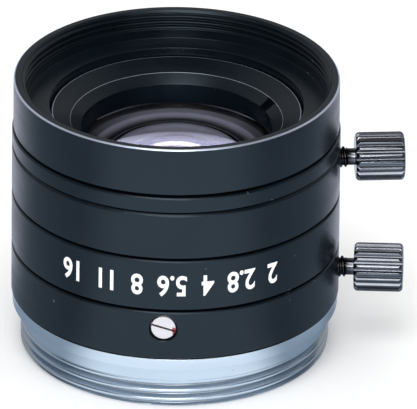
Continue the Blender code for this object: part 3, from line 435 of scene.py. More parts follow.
def make_ground_edge():
    """Matt and pale low on the rim, blackened towards its top by the height between two levels."""
    material, tree, shader = start_finish("ground edge")
    patch = use(tree, grain, Per_metre=6000.0)["Patch"]
    height = split(tree, object_place(tree))[2]
    base = blend(tree, patch, (0.62, 0.63, 0.80, 1), (0.74, 0.75, 0.92, 1))
    base = blend(tree, ramp(tree, height, GROUND_LOW, GROUND_HIGH), base, (0.03, 0.03, 0.04, 1))
    feed(tree, shader, Base_Color=base, Roughness=0.8)
    return material


def make_white_ink():
    """Matt white print, a little grey where it is thin."""
    material, tree, shader = start_finish("white ink")
    thin = ramp(tree, use(tree, grain, Per_metre=4000.0)["Height"], 0.35, 0.6)
    ink = blend(tree, thin, (0.82, 0.83, 0.86, 1), (0.95, 0.95, 0.96, 1))
    feed(tree, shader, Base_Color=ink, Roughness=0.55)
    return material


white_ink = make_white_ink()
ground_edge = make_ground_edge()
print("finishes in all:", len(bpy.data.materials))

# %% [markdown]
# ## Turned pieces
# A turned piece is a profile swept round an axis. Its corners are listed as radius and height, down the
# outer side and back up the bore. Each corner is rounded a little, because a machined edge is broken, and
# the small round catches the light as a thin line. The points of the round carry an edge mark for wear.

# %% Rounded profiles
EDGE_ROUND = 0.05 * MM
ROUND_POINTS = 5


def rounded(corners, reach=EDGE_ROUND):
    """Each corner becomes a short curve: a mix of its two neighbours' directions, squared weights.

    Rows of the result are radius, height and edge mark. A profile that starts on the axis stays open.
    """
    corners = np.array(corners, float)
    closed = corners[0, 0] > 0
    inner = corners if closed else corners[1:-1]
    to_before = (np.roll(corners, 1, 0) if closed else corners[:-2]) - inner
    to_after = (np.roll(corners, -1, 0) if closed else corners[2:]) - inner
    span_before = np.linalg.norm(to_before, axis=1)
    span_after = np.linalg.norm(to_after, axis=1)
    cut = np.minimum(reach, 0.45 * np.minimum(span_before, span_after))
    start = (inner + to_before * (cut / span_before)[:, None])[:, None]
    stop = (inner + to_after * (cut / span_after)[:, None])[:, None]
    share = np.linspace(0, 1, ROUND_POINTS)[None, :, None]
    curve = (1 - share) ** 2 * start + 2 * share * (1 - share) * inner[:, None] + share ** 2 * stop
    mark = np.broadcast_to(np.sin(np.pi * share), (*curve.shape[:2], 1))
    rows = np.concatenate([curve, mark], -1).reshape(-1, 3)
    if closed:
        return rows
    return np.concatenate([[[*corners[0], 0]], rows, [[*corners[-1], 0]]])


print("a square ring's profile has", len(rounded([(1, 1), (2, 1), (2, 0), (1, 0)])), "rows")

# %% [markdown]
# A surface is a grid of points, and its faces are the cells of the grid. Once in the mesh, doubled points
# are merged, which closes the seam and the poles, and then the faces are turned outward.

# %% Grids and meshes
SHARP = np.radians(38)
MERGE = 0.0001 * MM


def grid_quads(rows, columns, closed):
    """Four corners of every cell of a grid that wraps round, and also from last row to first if closed."""
    down, across = np.meshgrid(np.arange(rows if closed else rows - 1), np.arange(columns), indexing="ij")
    below = (down + 1) % rows
    beside = (across + 1) % columns
    return np.stack([down * columns + across, below * columns + across,
                     below * columns + beside, down * columns + beside], -1)


def patch_quads(rows, columns):
    """Four corners of every cell of a grid whose sides are all open."""
    index = np.arange(rows * columns).reshape(rows, columns)
    return np.stack([index[:-1, :-1], index[1:, :-1], index[1:, 1:], index[:-1, 1:]], -1).reshape(-1, 4)


def clean(mesh, distance):
    """Merges points nearer than the distance and turns the faces outward."""
    shape = bmesh.new()
    shape.from_mesh(mesh)
    bmesh.ops.remove_doubles(shape, verts=shape.verts, dist=distance)
    bmesh.ops.recalc_face_normals(shape, faces=shape.faces)
    shape.to_mesh(mesh)
    shape.free()


def link(name, mesh):
    """Puts a mesh into the scene as an object at the origin."""
    piece = bpy.data.objects.new(name, mesh)
    bpy.context.scene.collection.objects.link(piece)
    return piece


def build(name, points, quads, mark, where=None, kind="edge"):
    """A piece from its points and quads, shaded smooth with its sharp edges kept, and its marks."""
    points = points.reshape(-1, 3)
    if where is not None:
        points = points @ where[:3, :3].T + where[:3, 3]
    mesh = bpy.data.meshes.new(name)
    mesh.from_pydata(points.tolist(), [], quads.reshape(-1, 4).tolist())
    marked = mesh.attributes.new(kind, "FLOAT", "POINT")
    marked.data.foreach_set("value", np.ascontiguousarray(mark, np.float32).ravel())
    clean(mesh, MERGE)
    mesh.shade_smooth()
    mesh.set_sharp_from_angle(angle=SHARP)
    return link(name, mesh)


print("a cell of a closed grid of 3 by 4:", grid_quads(3, 4, True)[0, 0].tolist())

# %% [markdown]
# A sweep takes one row of points for each row of the profile. Where radius, height or mark change along
# the turn, as on a thread, they are given as whole tables. A piece whose axis is not the lens axis, such
# as a screw in the side of a ring, gets the place of that axis as a matrix.

# %% Sweeps
AROUND = 240


def round_angles(columns=AROUND):
    """The angle of each column, evenly round the turn."""
    return np.arange(columns) * TURN / columns


def all_round(values, columns=AROUND):
    """The same value right round the turn."""
    return np.broadcast_to(values if values.ndim == 2 else values[:, None], (len(values), columns))


def sweep(name, radius, height, mark, columns=AROUND, where=None, kind="edge"):
    """Point = (radius cos a, radius sin a, height), a running once round. Each may vary with a."""
    angle = round_angles(columns)
    radius, height, mark = (all_round(values, columns) for values in (radius, height, mark))
    points = np.stack([radius * np.cos(angle), radius * np.sin(angle), height], -1)
    return build(name, points, grid_quads(*radius.shape, radius[0, 0] > 0), mark, where, kind)


def turned(name, corners):
    """A plain turned piece from its corners."""
    return sweep(name, *rounded(corners).T)


def outward(azimuth, height):
    """A frame on the lens axis whose Z points radially outward."""
    turn = Matrix.Rotation(azimuth, 4, "Z") @ Matrix.Rotation(np.pi / 2, 4, "Y")
    return np.array(Matrix.Translation((0, 0, height)) @ turn)


print("a turned surface has", AROUND, "columns")

# %% [markdown]
# ## From a surface to a piece of the lens
# Each new surface, apart from the printed numbers, stands for a CAD node and moves with that node's body.
# The outer size and the place are read from the CAD node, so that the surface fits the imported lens.

# %% Dressing


def dress(piece, body, slot, *nodes, material=None):
    """Gives a piece its finish, picked by the slot name unless a material is given, and its body, and hides
    the CAD nodes that it stands for.
    """
    piece.data.materials.clear()
    piece.data.materials.append(material or finishes[slot])
    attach(piece, body)
    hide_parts(*nodes)
    print(piece.name, "has", len(piece.data.polygons), "faces and rides on", body)
    return piece


def extent(node):
    """Largest radius, bottom and top of a round CAD node."""
    low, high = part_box(node)
    return high.x, low.z, high.z


def centre_height(node):
    """Height of the middle of a CAD node."""
    low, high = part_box(node)
    return (low.z + high.z) / 2


# %% [markdown]
# ## Camera ring with its thread
# The silver ring has the standard camera thread, 1 inch across with 32 turns to the inch. The thread is
# a groove that climbs by one pitch a turn, so the surface's radius depends on height and angle together:
# a V-shaped wave of (height over pitch minus angle over a full turn). It fades out below the plain land,
# and its grooves are marked to be darkened: painted shade in the roots, with a little dirt.

# %% Thread wave
CREST_FLAT = 0.16
ROOT_FLAT = 0.1
FRONT = -TURN / 4


def thread_wave(height, angle, pitch, crest_height):
    """0 on the crest and 1 in the root of a V thread, from the share of a pitch to the nearest crest."""
    phase = (height - crest_height) / pitch - (angle - FRONT) / TURN
    distance = np.abs((phase + 0.5) % 1 - 0.5) * 2
    share = np.clip((distance - CREST_FLAT) / (1 - CREST_FLAT - ROOT_FLAT), 0, 1)
    return share * share * (3 - 2 * share)


print("halfway down the flank:", float(thread_wave(0.28, FRONT, 1.0, 0.0)))

# %% Camera ring
THREAD_RADIUS = 12.7 * MM
THREAD_PITCH = 25.4 / 32 * MM
THREAD_DEPTH = 0.46 * MM
THREAD_TOP = 2.42 * MM
THREAD_FADE = 0.25 * MM
# how far the thread's roots blend to near-black: painted shade, with a little dirt
THREAD_SHADE_AND_DIRT = 0.45
THREAD_CHAMFER = 0.31 * MM
CREST_AT_FRONT = 1.46 * MM
FLANGE_SHOULDER = 3.74 * MM
SEAM_LEFT = 0.13 * MM
MOUNT_BORE = 11.35 * MM
MOUNT_LIP_RADIUS = 10.9 * MM
MOUNT_LIP = 0.9 * MM
ROWS_A_PITCH = 26
END_GAP = 0.02 * MM


def make_camera_ring():
    """Flange, land, screw thread and rear lip in one profile, with the thread's rows swept as a wave."""
    radius = extent("c_mount_ring")[0]
    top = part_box("iris_ring")[0].z - SEAM_LEFT
    upper = rounded([(MOUNT_BORE, top), (radius, top), (radius, FLANGE_SHOULDER),
                     (THREAD_RADIUS, FLANGE_SHOULDER), (THREAD_RADIUS, THREAD_TOP), (MOUNT_BORE, THREAD_TOP)])
    upper = upper[ROUND_POINTS:-ROUND_POINTS - 1]
    lower = rounded([(THREAD_RADIUS, THREAD_CHAMFER), (THREAD_RADIUS - THREAD_CHAMFER, 0),
                     (MOUNT_LIP_RADIUS, 0), (MOUNT_LIP_RADIUS, MOUNT_LIP), (MOUNT_BORE, MOUNT_LIP),
                     (MOUNT_BORE, top), (radius, top)])
    lower = lower[ROUND_POINTS:-ROUND_POINTS]
    height = np.linspace(THREAD_TOP, END_GAP, int(ROWS_A_PITCH * THREAD_TOP / THREAD_PITCH))
    cone = np.interp(height, [0, THREAD_CHAMFER], [THREAD_RADIUS - THREAD_CHAMFER, THREAD_RADIUS])
    angle = round_angles()
    wave = thread_wave(height[:, None], angle[None], THREAD_PITCH, CREST_AT_FRONT)
    wave = wave * np.clip((THREAD_TOP - height) / THREAD_FADE, 0, 1)[:, None]
    threaded = np.minimum(cone[:, None], THREAD_RADIUS - THREAD_DEPTH * wave)
    wide = np.concatenate([all_round(upper[:, 0]), threaded, all_round(lower[:, 0])])
    heights = np.concatenate([upper[:, 1], height, lower[:, 1]])
    # painted shade in the thread's roots, with a little dirt, following the wave
    root_shade_and_dirt = [np.zeros((len(upper), AROUND)), THREAD_SHADE_AND_DIRT * wave, np.zeros((len(lower), AROUND))]
    return sweep("camera_ring", wide, heights, np.concatenate(root_shade_and_dirt), kind="shade_and_dirt")


dress(make_camera_ring(), "mount", "silver_mount", "c_mount_ring")

# %% [markdown]
# ## Rings with holes
# The iris ring and the focus ring are drilled for their screws. A hole is made without cutting: a window
# of cells is left out of the ring's outer wall and of its bore, and a sleeve of loops runs from the edge
# of one window, through the circles of the hole, to the edge of the other.

# %% Windows
WINDOW_ROWS = 9


def window_loop(rows, columns, wide):
    """Indices round a window of a grid, counter-clockwise as seen from outside. Rows run from top down."""
    bottom = rows[-1] * wide + columns
    right = rows[::-1][1:] * wide + columns[-1]
    upper = rows[0] * wide + columns[::-1][1:]
    left = rows[1:-1] * wide + columns[0]
    return np.concatenate([bottom, right, upper, left])


def add_rows(profile, radius, heights):
    """Adds rows at these heights to the straight stretch of the profile that has this radius."""
    same = np.isclose(profile[:, 0], radius) & np.isclose(np.roll(profile[:, 0], -1), radius)
    at = np.flatnonzero(same)[0]
    falling = profile[(at + 1) % len(profile), 1] < profile[at, 1]
    ordered = np.sort(heights)[::-1] if falling else np.sort(heights)
    extra = np.stack([np.full(len(ordered), radius), ordered, np.zeros(len(ordered))], -1)
    return np.concatenate([profile[:at + 1], extra, profile[at + 1:]])


def hole_circle(rim, azimuth, height, size, face, depth):
    """A circle with a point for each point of the window's rim, on a round face or at a flat depth.

    The point at angle p is tangent times r cos p plus up times r sin p plus outward times its depth.
    """
    out = np.array([np.cos(azimuth), np.sin(azimuth), 0])
    side = np.array([-np.sin(azimuth), np.cos(azimuth), 0])
    turn = np.arctan2(rim[:, 2] - height, rim @ side)
    reach = size * np.cos(turn)
    deep = np.sqrt(face ** 2 - reach ** 2) if face else np.full(len(turn), depth)
    circle = deep[:, None] * out + reach[:, None] * side
    circle[:, 2] = height + size * np.sin(turn)
    return circle


print("a window of 3 by 3 points has a loop of", len(window_loop(np.arange(3), np.arange(3), 9)), "points")

# %% Pierced walls


def pierced(name, corners, radius, bore, openings):
    """A turned wall with openings, each given as azimuth, height, half width, half height and circles.

    A circle is its radius, the radius of the round face it lies on, or None, and a flat depth.
    """
    profile = rounded(corners)
    levels = np.concatenate([np.linspace(height - tall, height + tall, WINDOW_ROWS)
                             for _, height, _, tall, _ in openings])
    profile = add_rows(add_rows(profile, radius, levels), bore, levels)
    angle = round_angles()
    points = np.stack([profile[:, :1] * np.cos(angle), profile[:, :1] * np.sin(angle),
                       all_round(profile[:, 1])], -1).reshape(-1, 3)
    quads = grid_quads(len(profile), AROUND, True)
    keep = np.ones(quads.shape[:2], bool)
    sleeves = []
    for azimuth, height, half, tall, circles in openings:
        first = int(np.floor((azimuth - half / radius) / TURN * AROUND))
        last = int(np.ceil((azimuth + half / radius) / TURN * AROUND))
        sides = np.arange(first, last + 1) % AROUND
        loops = []
        for face in (radius, bore):
            near = np.abs(profile[:, 1] - height) < tall + MERGE
            rows = np.flatnonzero(np.isclose(profile[:, 0], face) & near)
            keep[np.ix_(rows[:-1], sides[:-1])] = False
            rows = rows[np.argsort(-profile[rows, 1])]
            loops.append(window_loop(rows, sides, AROUND))
        rim = points[loops[0]]
        rings = [loops[0]]
        for size, face, depth in circles:
            rings.append(len(points) + np.arange(len(rim)))
            points = np.concatenate([points, hole_circle(rim, azimuth, height, size, face, depth)])
        rings.append(loops[1])
        for outer, inner in zip(rings, rings[1:]):
            sleeves.append(np.stack([outer, np.roll(outer, -1), np.roll(inner, -1), inner], -1))
    marks = np.zeros(len(points))
    marks[:len(profile) * AROUND] = np.repeat(profile[:, 2], AROUND)
    return build(name, points, np.concatenate([quads[keep]] + sleeves), marks)


# %% [markdown]
# ## The black rings
# From the camera end to the front: the iris ring, the fixed band with the dial numbers, the focus ring,
# the narrow helicoid ring and the front barrel. Narrow dark gaps part them. A thumb screw's hole goes
# right through its ring, and the slotted screw's head sits in a wide sinking.

# %% Openings for the screws
RING_BORE = 11.9 * MM
HOLE_EDGE = 0.07 * MM
DRIVE_AZIMUTH = np.radians(-93.8)
DRIVE_HEIGHT = 7.6 * MM
DRIVE_SINK_RADIUS = 1.16 * MM
DRIVE_SINK_FLOOR = 12.45 * MM
DRIVE_HOLE_RADIUS = 0.6 * MM
LOCK_AZIMUTHS = {"focus_lock_screw": np.radians(4), "iris_lock_screw": np.radians(-1.9)}
LOCK_HOLE_RADIUS = 1.0 * MM
WINDOW_MARGIN = 0.55 * MM
WINDOW_SLACK = 0.005 * MM


def opening(azimuth, height, hole, radius, circles):
    """A hole with a broken edge, in a window a little larger than itself."""
    reach = hole + HOLE_EDGE
    edge = [(reach, radius, None), (hole, radius - HOLE_EDGE, None)]
    return azimuth, height, reach + WINDOW_MARGIN, reach + WINDOW_SLACK, edge + circles


def lock_opening(node, radius):
    """The tapped hole of a thumb screw, right through a ring."""
    return opening(LOCK_AZIMUTHS[node], centre_height(node), LOCK_HOLE_RADIUS, radius,
                   [(LOCK_HOLE_RADIUS, RING_BORE, None)])


def drive_opening(radius):
    """The wide sinking of the slotted screw's head, then its narrow hole."""
    return opening(DRIVE_AZIMUTH, DRIVE_HEIGHT, DRIVE_SINK_RADIUS, radius, [
        (DRIVE_SINK_RADIUS, None, DRIVE_SINK_FLOOR),
        (DRIVE_HOLE_RADIUS, None, DRIVE_SINK_FLOOR),
        (DRIVE_HOLE_RADIUS, RING_BORE, None),
    ])


print("thumb screws at", np.round(np.degrees(list(LOCK_AZIMUTHS.values())), 1), "degrees")

# %% Iris ring and scale band
RING_EDGE = 0.12 * MM
LOWER_EDGE = 0.05 * MM


def edged_corners(node):
    """Corners of a ring whose two outer edges are broken."""
    radius, bottom, top = extent(node)
    return [(RING_BORE, top), (radius - RING_EDGE, top), (radius, top - RING_EDGE),
            (radius, bottom + LOWER_EDGE), (radius - LOWER_EDGE, bottom), (RING_BORE, bottom)]


radius = extent("iris_ring")[0]
iris_ring = pierced("iris_ring_skin", edged_corners("iris_ring"), radius, RING_BORE,
                    [drive_opening(radius), lock_opening("iris_lock_screw", radius)])
dress(iris_ring, "iris", "black_anodised", "iris_ring")
dress(turned("scale_band_skin", edged_corners("scale_band")), "mount", "black_anodised", "scale_band")

# %% [markdown]
# The focus ring turns on the main barrel and is widened at its top for the helicoid ring's skirt. The
# helicoid ring's long boss reaches down into the main barrel and moves the lens tube.

# %% Focus ring and helicoid ring
GROOVE_EDGE = 0.22 * MM
HELICOID_SEAM = 0.14 * MM
MAIN_FLANGE_THICKNESS = 0.35 * MM
SEAT = 0.25 * MM
SKIRT_RADIUS = 12.8 * MM
SKIRT_BORE = 12.45 * MM
SKIRT_MOUTH = 13.0 * MM
BOSS_RADIUS = 10.95 * MM
MAIN_BORE = 10.45 * MM

radius, bottom, top = extent("focus_ring")
flange_bottom = top - MAIN_FLANGE_THICKNESS
step = flange_bottom - SEAT
focus_ring = pierced("focus_ring_skin", [
    (SKIRT_MOUTH, top), (radius - GROOVE_EDGE, top), (radius, top - GROOVE_EDGE),
    (radius, bottom + LOWER_EDGE), (radius - LOWER_EDGE, bottom), (RING_BORE, bottom),
    (RING_BORE, step), (SKIRT_MOUTH, step),
], radius, RING_BORE, [lock_opening("focus_lock_screw", radius)])
dress(focus_ring, "focus", "black_anodised", "focus_ring")

_, boss_bottom, helicoid_top = extent("helicoid_ring")
helicoid_bottom = top + HELICOID_SEAM
web = top + SEAT
helicoid_ring = turned("helicoid_ring_skin", [
    (MAIN_BORE, helicoid_top), (radius - RING_EDGE, helicoid_top), (radius, helicoid_top - RING_EDGE),
    (radius, helicoid_bottom + LOWER_EDGE), (radius - LOWER_EDGE, helicoid_bottom),
    (SKIRT_RADIUS, helicoid_bottom), (SKIRT_RADIUS, flange_bottom), (SKIRT_BORE, flange_bottom),
    (SKIRT_BORE, web), (BOSS_RADIUS, web), (BOSS_RADIUS, boss_bottom), (MAIN_BORE, boss_bottom),
])
dress(helicoid_ring, "focus", "black_anodised", "helicoid_ring")

# %% [markdown]
# ## Front barrel
# Inside the front rim is the thread for a filter, half a millimetre a turn, cut into the wall. Below it
# lie a plain dark band and the wide ledge. The rim's outer edge is bare metal all round: partly wear,
# partly a painted highlight line.

# %% Front barrel with its filter thread
FRONT_RIM = 12.75 * MM
FILTER_MINOR = 12.45 * MM
FILTER_DEPTH = 1.56 * MM
FILTER_PITCH = 0.5 * MM
FILTER_THREAD = 0.25 * MM
FILTER_FADE = 0.3
BAFFLE_RADIUS = 12.3 * MM
LEDGE_DEPTH = 2.39 * MM
FRONT_EDGE = 0.12 * MM
# mark above 1: the rim's outer edge is bare metal, a painted highlight line as well as wear
BARE_EDGE_HIGHLIGHT = 1.5


def make_front_barrel():
    """The bore's rows between ledge and rim are swept as a wave, outward from the thread's crests."""
    radius, bottom, top = extent("front_barrel")
    ledge = top - LEDGE_DEPTH
    floor = top - FILTER_DEPTH
    lead = top - (FRONT_RIM - FILTER_MINOR)
    plain = rounded([
        (FRONT_RIM, top), (radius - FRONT_EDGE, top), (radius, top - FRONT_EDGE),
        (radius, bottom + LOWER_EDGE), (radius - LOWER_EDGE, bottom), (MAIN_BORE, bottom),
        (MAIN_BORE, ledge), (BAFFLE_RADIUS, ledge), (BAFFLE_RADIUS, floor), (FILTER_MINOR, floor),
    ])[:-ROUND_POINTS]
    # the rows of the rim's outer edge become a bare metal line: painted highlight and wear
    plain[ROUND_POINTS + 2:3 * ROUND_POINTS - 2, 2] = BARE_EDGE_HIGHLIGHT
    height = np.linspace(floor, top - END_GAP, int(ROWS_A_PITCH * FILTER_DEPTH / FILTER_PITCH))
    cone = np.interp(height, [floor, lead, top], [FILTER_MINOR, FILTER_MINOR, FRONT_RIM])
    fade = np.clip((height - floor) / (FILTER_FADE * FILTER_PITCH), 0, 1)
    angle = round_angles()
    wave = thread_wave(height[:, None], angle[None], FILTER_PITCH, floor + 0.5 * FILTER_PITCH)
    threaded = np.maximum(cone[:, None], FILTER_MINOR + FILTER_THREAD * wave * fade[:, None])
    marks = np.concatenate([plain[:, 2], np.zeros(len(height))])
    return sweep("front_barrel_skin", np.concatenate([all_round(plain[:, 0]), threaded]),
                 np.concatenate([plain[:, 1], height]), marks)


dress(make_front_barrel(), "lens", "black_anodised", "front_barrel")

# %% [markdown]
# ## The ring that holds the front glass
# A conical ring is screwed in front of the glass. Two notches in its inner chamfer take a pin spanner.
# Round the ring, the profile is the plain one or the notched one, and where they meet the column of points
# is doubled, so that the notch gets upright sides. Its upper and inner edges are thin lines of bare metal:
# partly wear, partly painted highlight.

# %% Front retaining ring
CLAMP_SLOPE_RADIUS = 8.73 * MM
CLAMP_SLOPE_DROP = 0.78 * MM
CLAMP_THROAT_RADIUS = 7.84 * MM
CLAMP_THROAT_DROP = 1.43 * MM
CLAMP_FLANGE = 0.63 * MM
CLAMP_BODY = 9.1 * MM
CLAMP_FOOT = 0.17 * MM
CLAMP_FOOT_HOLLOW = 0.4 * MM
CLAMP_EDGE = 0.08 * MM
CLAMP_INNER_EDGE = 0.04 * MM
CLAMP_ROUND = 0.03 * MM
# mark above 1: bare metal lines on the upper and inner edges, painted highlights as well as wear
WORN_AND_HIGHLIGHT_EDGE = 1.4
NOTCH_WIDTH = 1.2 * MM
NOTCH_DEPTH = 0.3 * MM
NOTCH_LEAN = 0.001 * MM
NOTCH_AZIMUTH = np.radians(25.5)
CLAMP_COLUMNS = 216
COLUMN_GAP = 1e-7


def clamp_profiles():
    """The plain and the notched profile, with the same number of rows."""
    radius, low, top = extent("front_retaining_ring")
    slope = top - CLAMP_SLOPE_DROP
    throat = top - CLAMP_THROAT_DROP
    floor = throat - NOTCH_DEPTH
    outside = [(radius - CLAMP_EDGE, top - 0.5 * CLAMP_EDGE), (radius, top - 0.8 * CLAMP_EDGE),
               (radius, top - CLAMP_FLANGE), (CLAMP_BODY, top - CLAMP_FLANGE),
               (CLAMP_BODY, low + CLAMP_FOOT), (CLAMP_THROAT_RADIUS, low + CLAMP_FOOT_HOLLOW)]
    plain = rounded(outside + [
        (CLAMP_THROAT_RADIUS, throat), (CLAMP_SLOPE_RADIUS - CLAMP_INNER_EDGE, slope - CLAMP_INNER_EDGE),
        (CLAMP_SLOPE_RADIUS, slope)], CLAMP_ROUND)
    notched = rounded(outside + [
        (CLAMP_THROAT_RADIUS, floor), (CLAMP_SLOPE_RADIUS, floor),
        (CLAMP_SLOPE_RADIUS + NOTCH_LEAN, slope)], CLAMP_ROUND)
    # the upper and inner edges become bare metal lines: painted highlight and wear
    plain[2:2 * ROUND_POINTS - 2, 2] = WORN_AND_HIGHLIGHT_EDGE
    plain[1 - ROUND_POINTS:-1, 2] = WORN_AND_HIGHLIGHT_EDGE
    return plain, notched


def make_front_retaining_ring():
    """The plain or the notched profile, chosen column by column."""
    plain, notched = clamp_profiles()
    half = NOTCH_WIDTH / 2 / CLAMP_SLOPE_RADIUS
    edges = np.array([NOTCH_AZIMUTH - half, NOTCH_AZIMUTH + half])
    edges = np.concatenate([edges, edges + np.pi])
    even = round_angles(CLAMP_COLUMNS)
    angle = np.sort(np.concatenate([even, edges - COLUMN_GAP, edges + COLUMN_GAP]))
    inside = np.abs((angle - NOTCH_AZIMUTH + np.pi / 2) % np.pi - np.pi / 2) < half
    radii = np.where(inside[None], notched[:, :1], plain[:, :1])
    heights = np.where(inside[None], notched[:, 1:2], plain[:, 1:2])
    points = np.stack([radii * np.cos(angle), radii * np.sin(angle), heights], -1)
    marks = np.broadcast_to(plain[:, 2:], radii.shape)
    return build("front_retaining_ring_skin", points, grid_quads(*radii.shape, True), marks)


dress(make_front_retaining_ring(), "lens", "black_anodised", "front_retaining_ring")

# %% [markdown]
# ## Front glass
# Each glass is two shallow domes and a rim. A dome falls from its middle by its radius of curvature less
# the square root of that radius squared less the distance from the axis squared. The front dome is raised
# a little within the clamp ring's opening, because it stands higher in the photograph. Its rim is ground.

# %% Domes
GLASS_RINGS = 28
GLASS_COLUMNS = 160


def fall(curve, edge):
    """How far a dome falls from its middle to this distance from the axis."""
    return curve - np.sqrt(curve ** 2 - edge ** 2)


def dome(middle, curve, edge):
    """Radius and height from the middle out to the edge. A negative curve rises outward."""
    radius = np.linspace(0, edge, GLASS_RINGS)
    return np.stack([radius, middle - np.sign(curve) * fall(abs(curve), radius)], -1)


def glass_piece(name, front, rear):
    """Front dome outward, then the rear one back to the axis."""
    rows = np.concatenate([front, rear[::-1]])
    return sweep(name, rows[:, 0], rows[:, 1], np.zeros(len(rows)), GLASS_COLUMNS)


print("a dome has", GLASS_RINGS, "rings")

# %% Front glass
FRONT_GLASS_CURVE = 36.4 * MM
FRONT_GLASS_RAISE = 0.25 * MM
FRONT_GLASS_OPENING = 7.8 * MM
FRONT_HOLLOW_CURVE = 11.04 * MM
FRONT_HOLLOW_RADIUS = 6.9 * MM
RIM_SHARE = 0.99


def grind_rim(piece, radius):
    """Gives the ground finish to the faces that lie out at the rim."""
    middles = np.empty(len(piece.data.polygons) * 3)
    piece.data.polygons.foreach_get("center", middles)
    away = np.hypot(*middles.reshape(-1, 3)[:, :2].T)
    piece.data.materials.append(ground_edge)
    piece.data.polygons.foreach_set("material_index", (away > RIM_SHARE * radius).astype(np.int32))


radius, low, high = extent("front_lens")
seat = dome(high, FRONT_GLASS_CURVE, radius)
front = np.concatenate([dome(high + FRONT_GLASS_RAISE, FRONT_GLASS_CURVE, FRONT_GLASS_OPENING),
                        seat[seat[:, 0] > FRONT_GLASS_OPENING]])
hollow = dome(low + fall(FRONT_HOLLOW_CURVE, FRONT_HOLLOW_RADIUS), FRONT_HOLLOW_CURVE, FRONT_HOLLOW_RADIUS)
front_lens = glass_piece("front_lens_glass", front, np.concatenate([hollow, [[radius, low]]]))
dress(front_lens, "lens", "coated_glass", "front_lens", material=front_glass)
grind_rim(front_lens, radius)

# %% [markdown]
# ## The glasses inside
# Behind the front glass comes one more, then the iris, then a cemented pair and a single glass. A side
# that bulges has its middle on the CAD glass's box, and a hollow one has its edge there.

# %% Inner glasses
SECOND_GLASS_CURVE = 16.1 * MM
CEMENTED_CURVE = 14.04 * MM
INNER_CURVES = {  # front and rear, negative where the surface rises outward
    "second_lens": (SECOND_GLASS_CURVE, 39.9 * MM),
    "third_lens": (-18.2 * MM, CEMENTED_CURVE),
    "fourth_lens": (CEMENTED_CURVE, -24.96 * MM),
    "fifth_lens": (16.12 * MM, -30.16 * MM),
}

glasses = [front_lens]
for node, (front_curve, rear_curve) in INNER_CURVES.items():
    radius, low, high = extent(node)
    front_middle = high - fall(-front_curve, radius) if front_curve < 0 else high
    rear_middle = low + fall(rear_curve, radius) if rear_curve > 0 else low
    glass = glass_piece(node + "_glass", dome(front_middle, front_curve, radius),
                        dome(rear_middle, rear_curve, radius))
    glasses.append(dress(glass, "lens", "coated_glass", node, material=inner_glass))

# %% [markdown]
# The rear glasses are parted by a spacer and held by a thin ring. Looking into the lens from the camera's
# side, these are what shows.

# %% Rear rings
RING_WALLS = {"rear_spacer": 0.5 * MM, "rear_retaining_ring": 0.7 * MM}

for node, wall in RING_WALLS.items():
    radius, low, high = extent(node)
    corners = [(radius - wall, high), (radius, high), (radius, low), (radius - wall, low)]
    dress(turned(node + "_skin", corners), "lens", "matte_black", node)

# %% [markdown]
# ## Tubes inside
# The main barrel, the sliding lens tube and the rear cell are dull black. The two tubes have a window
# each, where the slotted screw's pin sweeps from the iris ring to the cam ring. It is as wide as the
# turn, and in the tube also as tall as the travel.

# %% Main barrel
MAIN_RADIUS = 11.7 * MM
SPIGOT_RADIUS = 11.15 * MM
MAIN_MOUTH = 11.15 * MM
IRIS_TURN = np.radians(45)
PIN_REACH = 0.7 * MM


def pin_window(inner, travel):
    """Window for the drive pin: it turns with the iris ring and drops as the tube slides out."""
    side = PIN_REACH / inner
    middle = DRIVE_AZIMUTH + IRIS_TURN / 2
    return (middle, DRIVE_HEIGHT - travel / 2, (IRIS_TURN / 2 + side) * inner, PIN_REACH + travel / 2, [])


_, main_bottom, main_top = extent("main_barrel")
main_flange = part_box("main_barrel")[1].x
under_flange = main_top - MAIN_FLANGE_THICKNESS
ring_floor = extent("c_mount_ring")[2] + SEAT
boss_floor = boss_bottom - SEAT
main_barrel = pierced("main_barrel_skin", [
    (MAIN_MOUTH, main_top), (main_flange, main_top), (main_flange, under_flange),
    (MAIN_RADIUS, under_flange), (MAIN_RADIUS, ring_floor), (SPIGOT_RADIUS, ring_floor),
    (SPIGOT_RADIUS, main_bottom), (MAIN_BORE, main_bottom), (MAIN_BORE, boss_floor), (MAIN_MOUTH, boss_floor),
], MAIN_RADIUS, MAIN_BORE, [pin_window(MAIN_BORE, 0)])
dress(main_barrel, "mount", "matte_black", "main_barrel")

# %% Lens tube
FOCUS_TRAVEL = 1.6 * MM
CHAMBER_RADIUS = 9.0 * MM
TUBE_STEP = 14.42 * MM
SEPTUM_TOP = 10.95 * MM
CHAMBER_TOP = 10.1 * MM
SEPTUM_HOLE = 5.2 * MM
MIDDLE_BORE = 7.2 * MM
WIDE_BORE = 9.3 * MM

tube_radius, tube_bottom, tube_top = extent("lens_tube")
lens_tube = pierced("lens_tube_skin", [
    (WIDE_BORE, tube_top), (tube_radius, tube_top), (tube_radius, tube_bottom), (CHAMBER_RADIUS, tube_bottom),
    (CHAMBER_RADIUS, CHAMBER_TOP), (SEPTUM_HOLE, CHAMBER_TOP), (SEPTUM_HOLE, SEPTUM_TOP),
    (MIDDLE_BORE, SEPTUM_TOP), (MIDDLE_BORE, TUBE_STEP), (WIDE_BORE, TUBE_STEP),
], tube_radius, CHAMBER_RADIUS, [pin_window(CHAMBER_RADIUS, FOCUS_TRAVEL)])
dress(lens_tube, "lens", "matte_black", "lens_tube")

# %% [markdown]
# The rear cell closes the tube from behind and holds the rear glasses. The inner retaining ring leans on
# the second glass, so its lower edge follows that glass's dome.

# %% Rear cell and inner retaining ring
CELL_NOSE = 7.6 * MM
CELL_SHOULDER = 4.7 * MM
CELL_SPIGOT = 6.4 * MM
CELL_BORE = 5.4 * MM
CELL_LIP = 0.3 * MM
CELL_HOLE = 4.7 * MM
INNER_RING_HOLE = 5.9 * MM

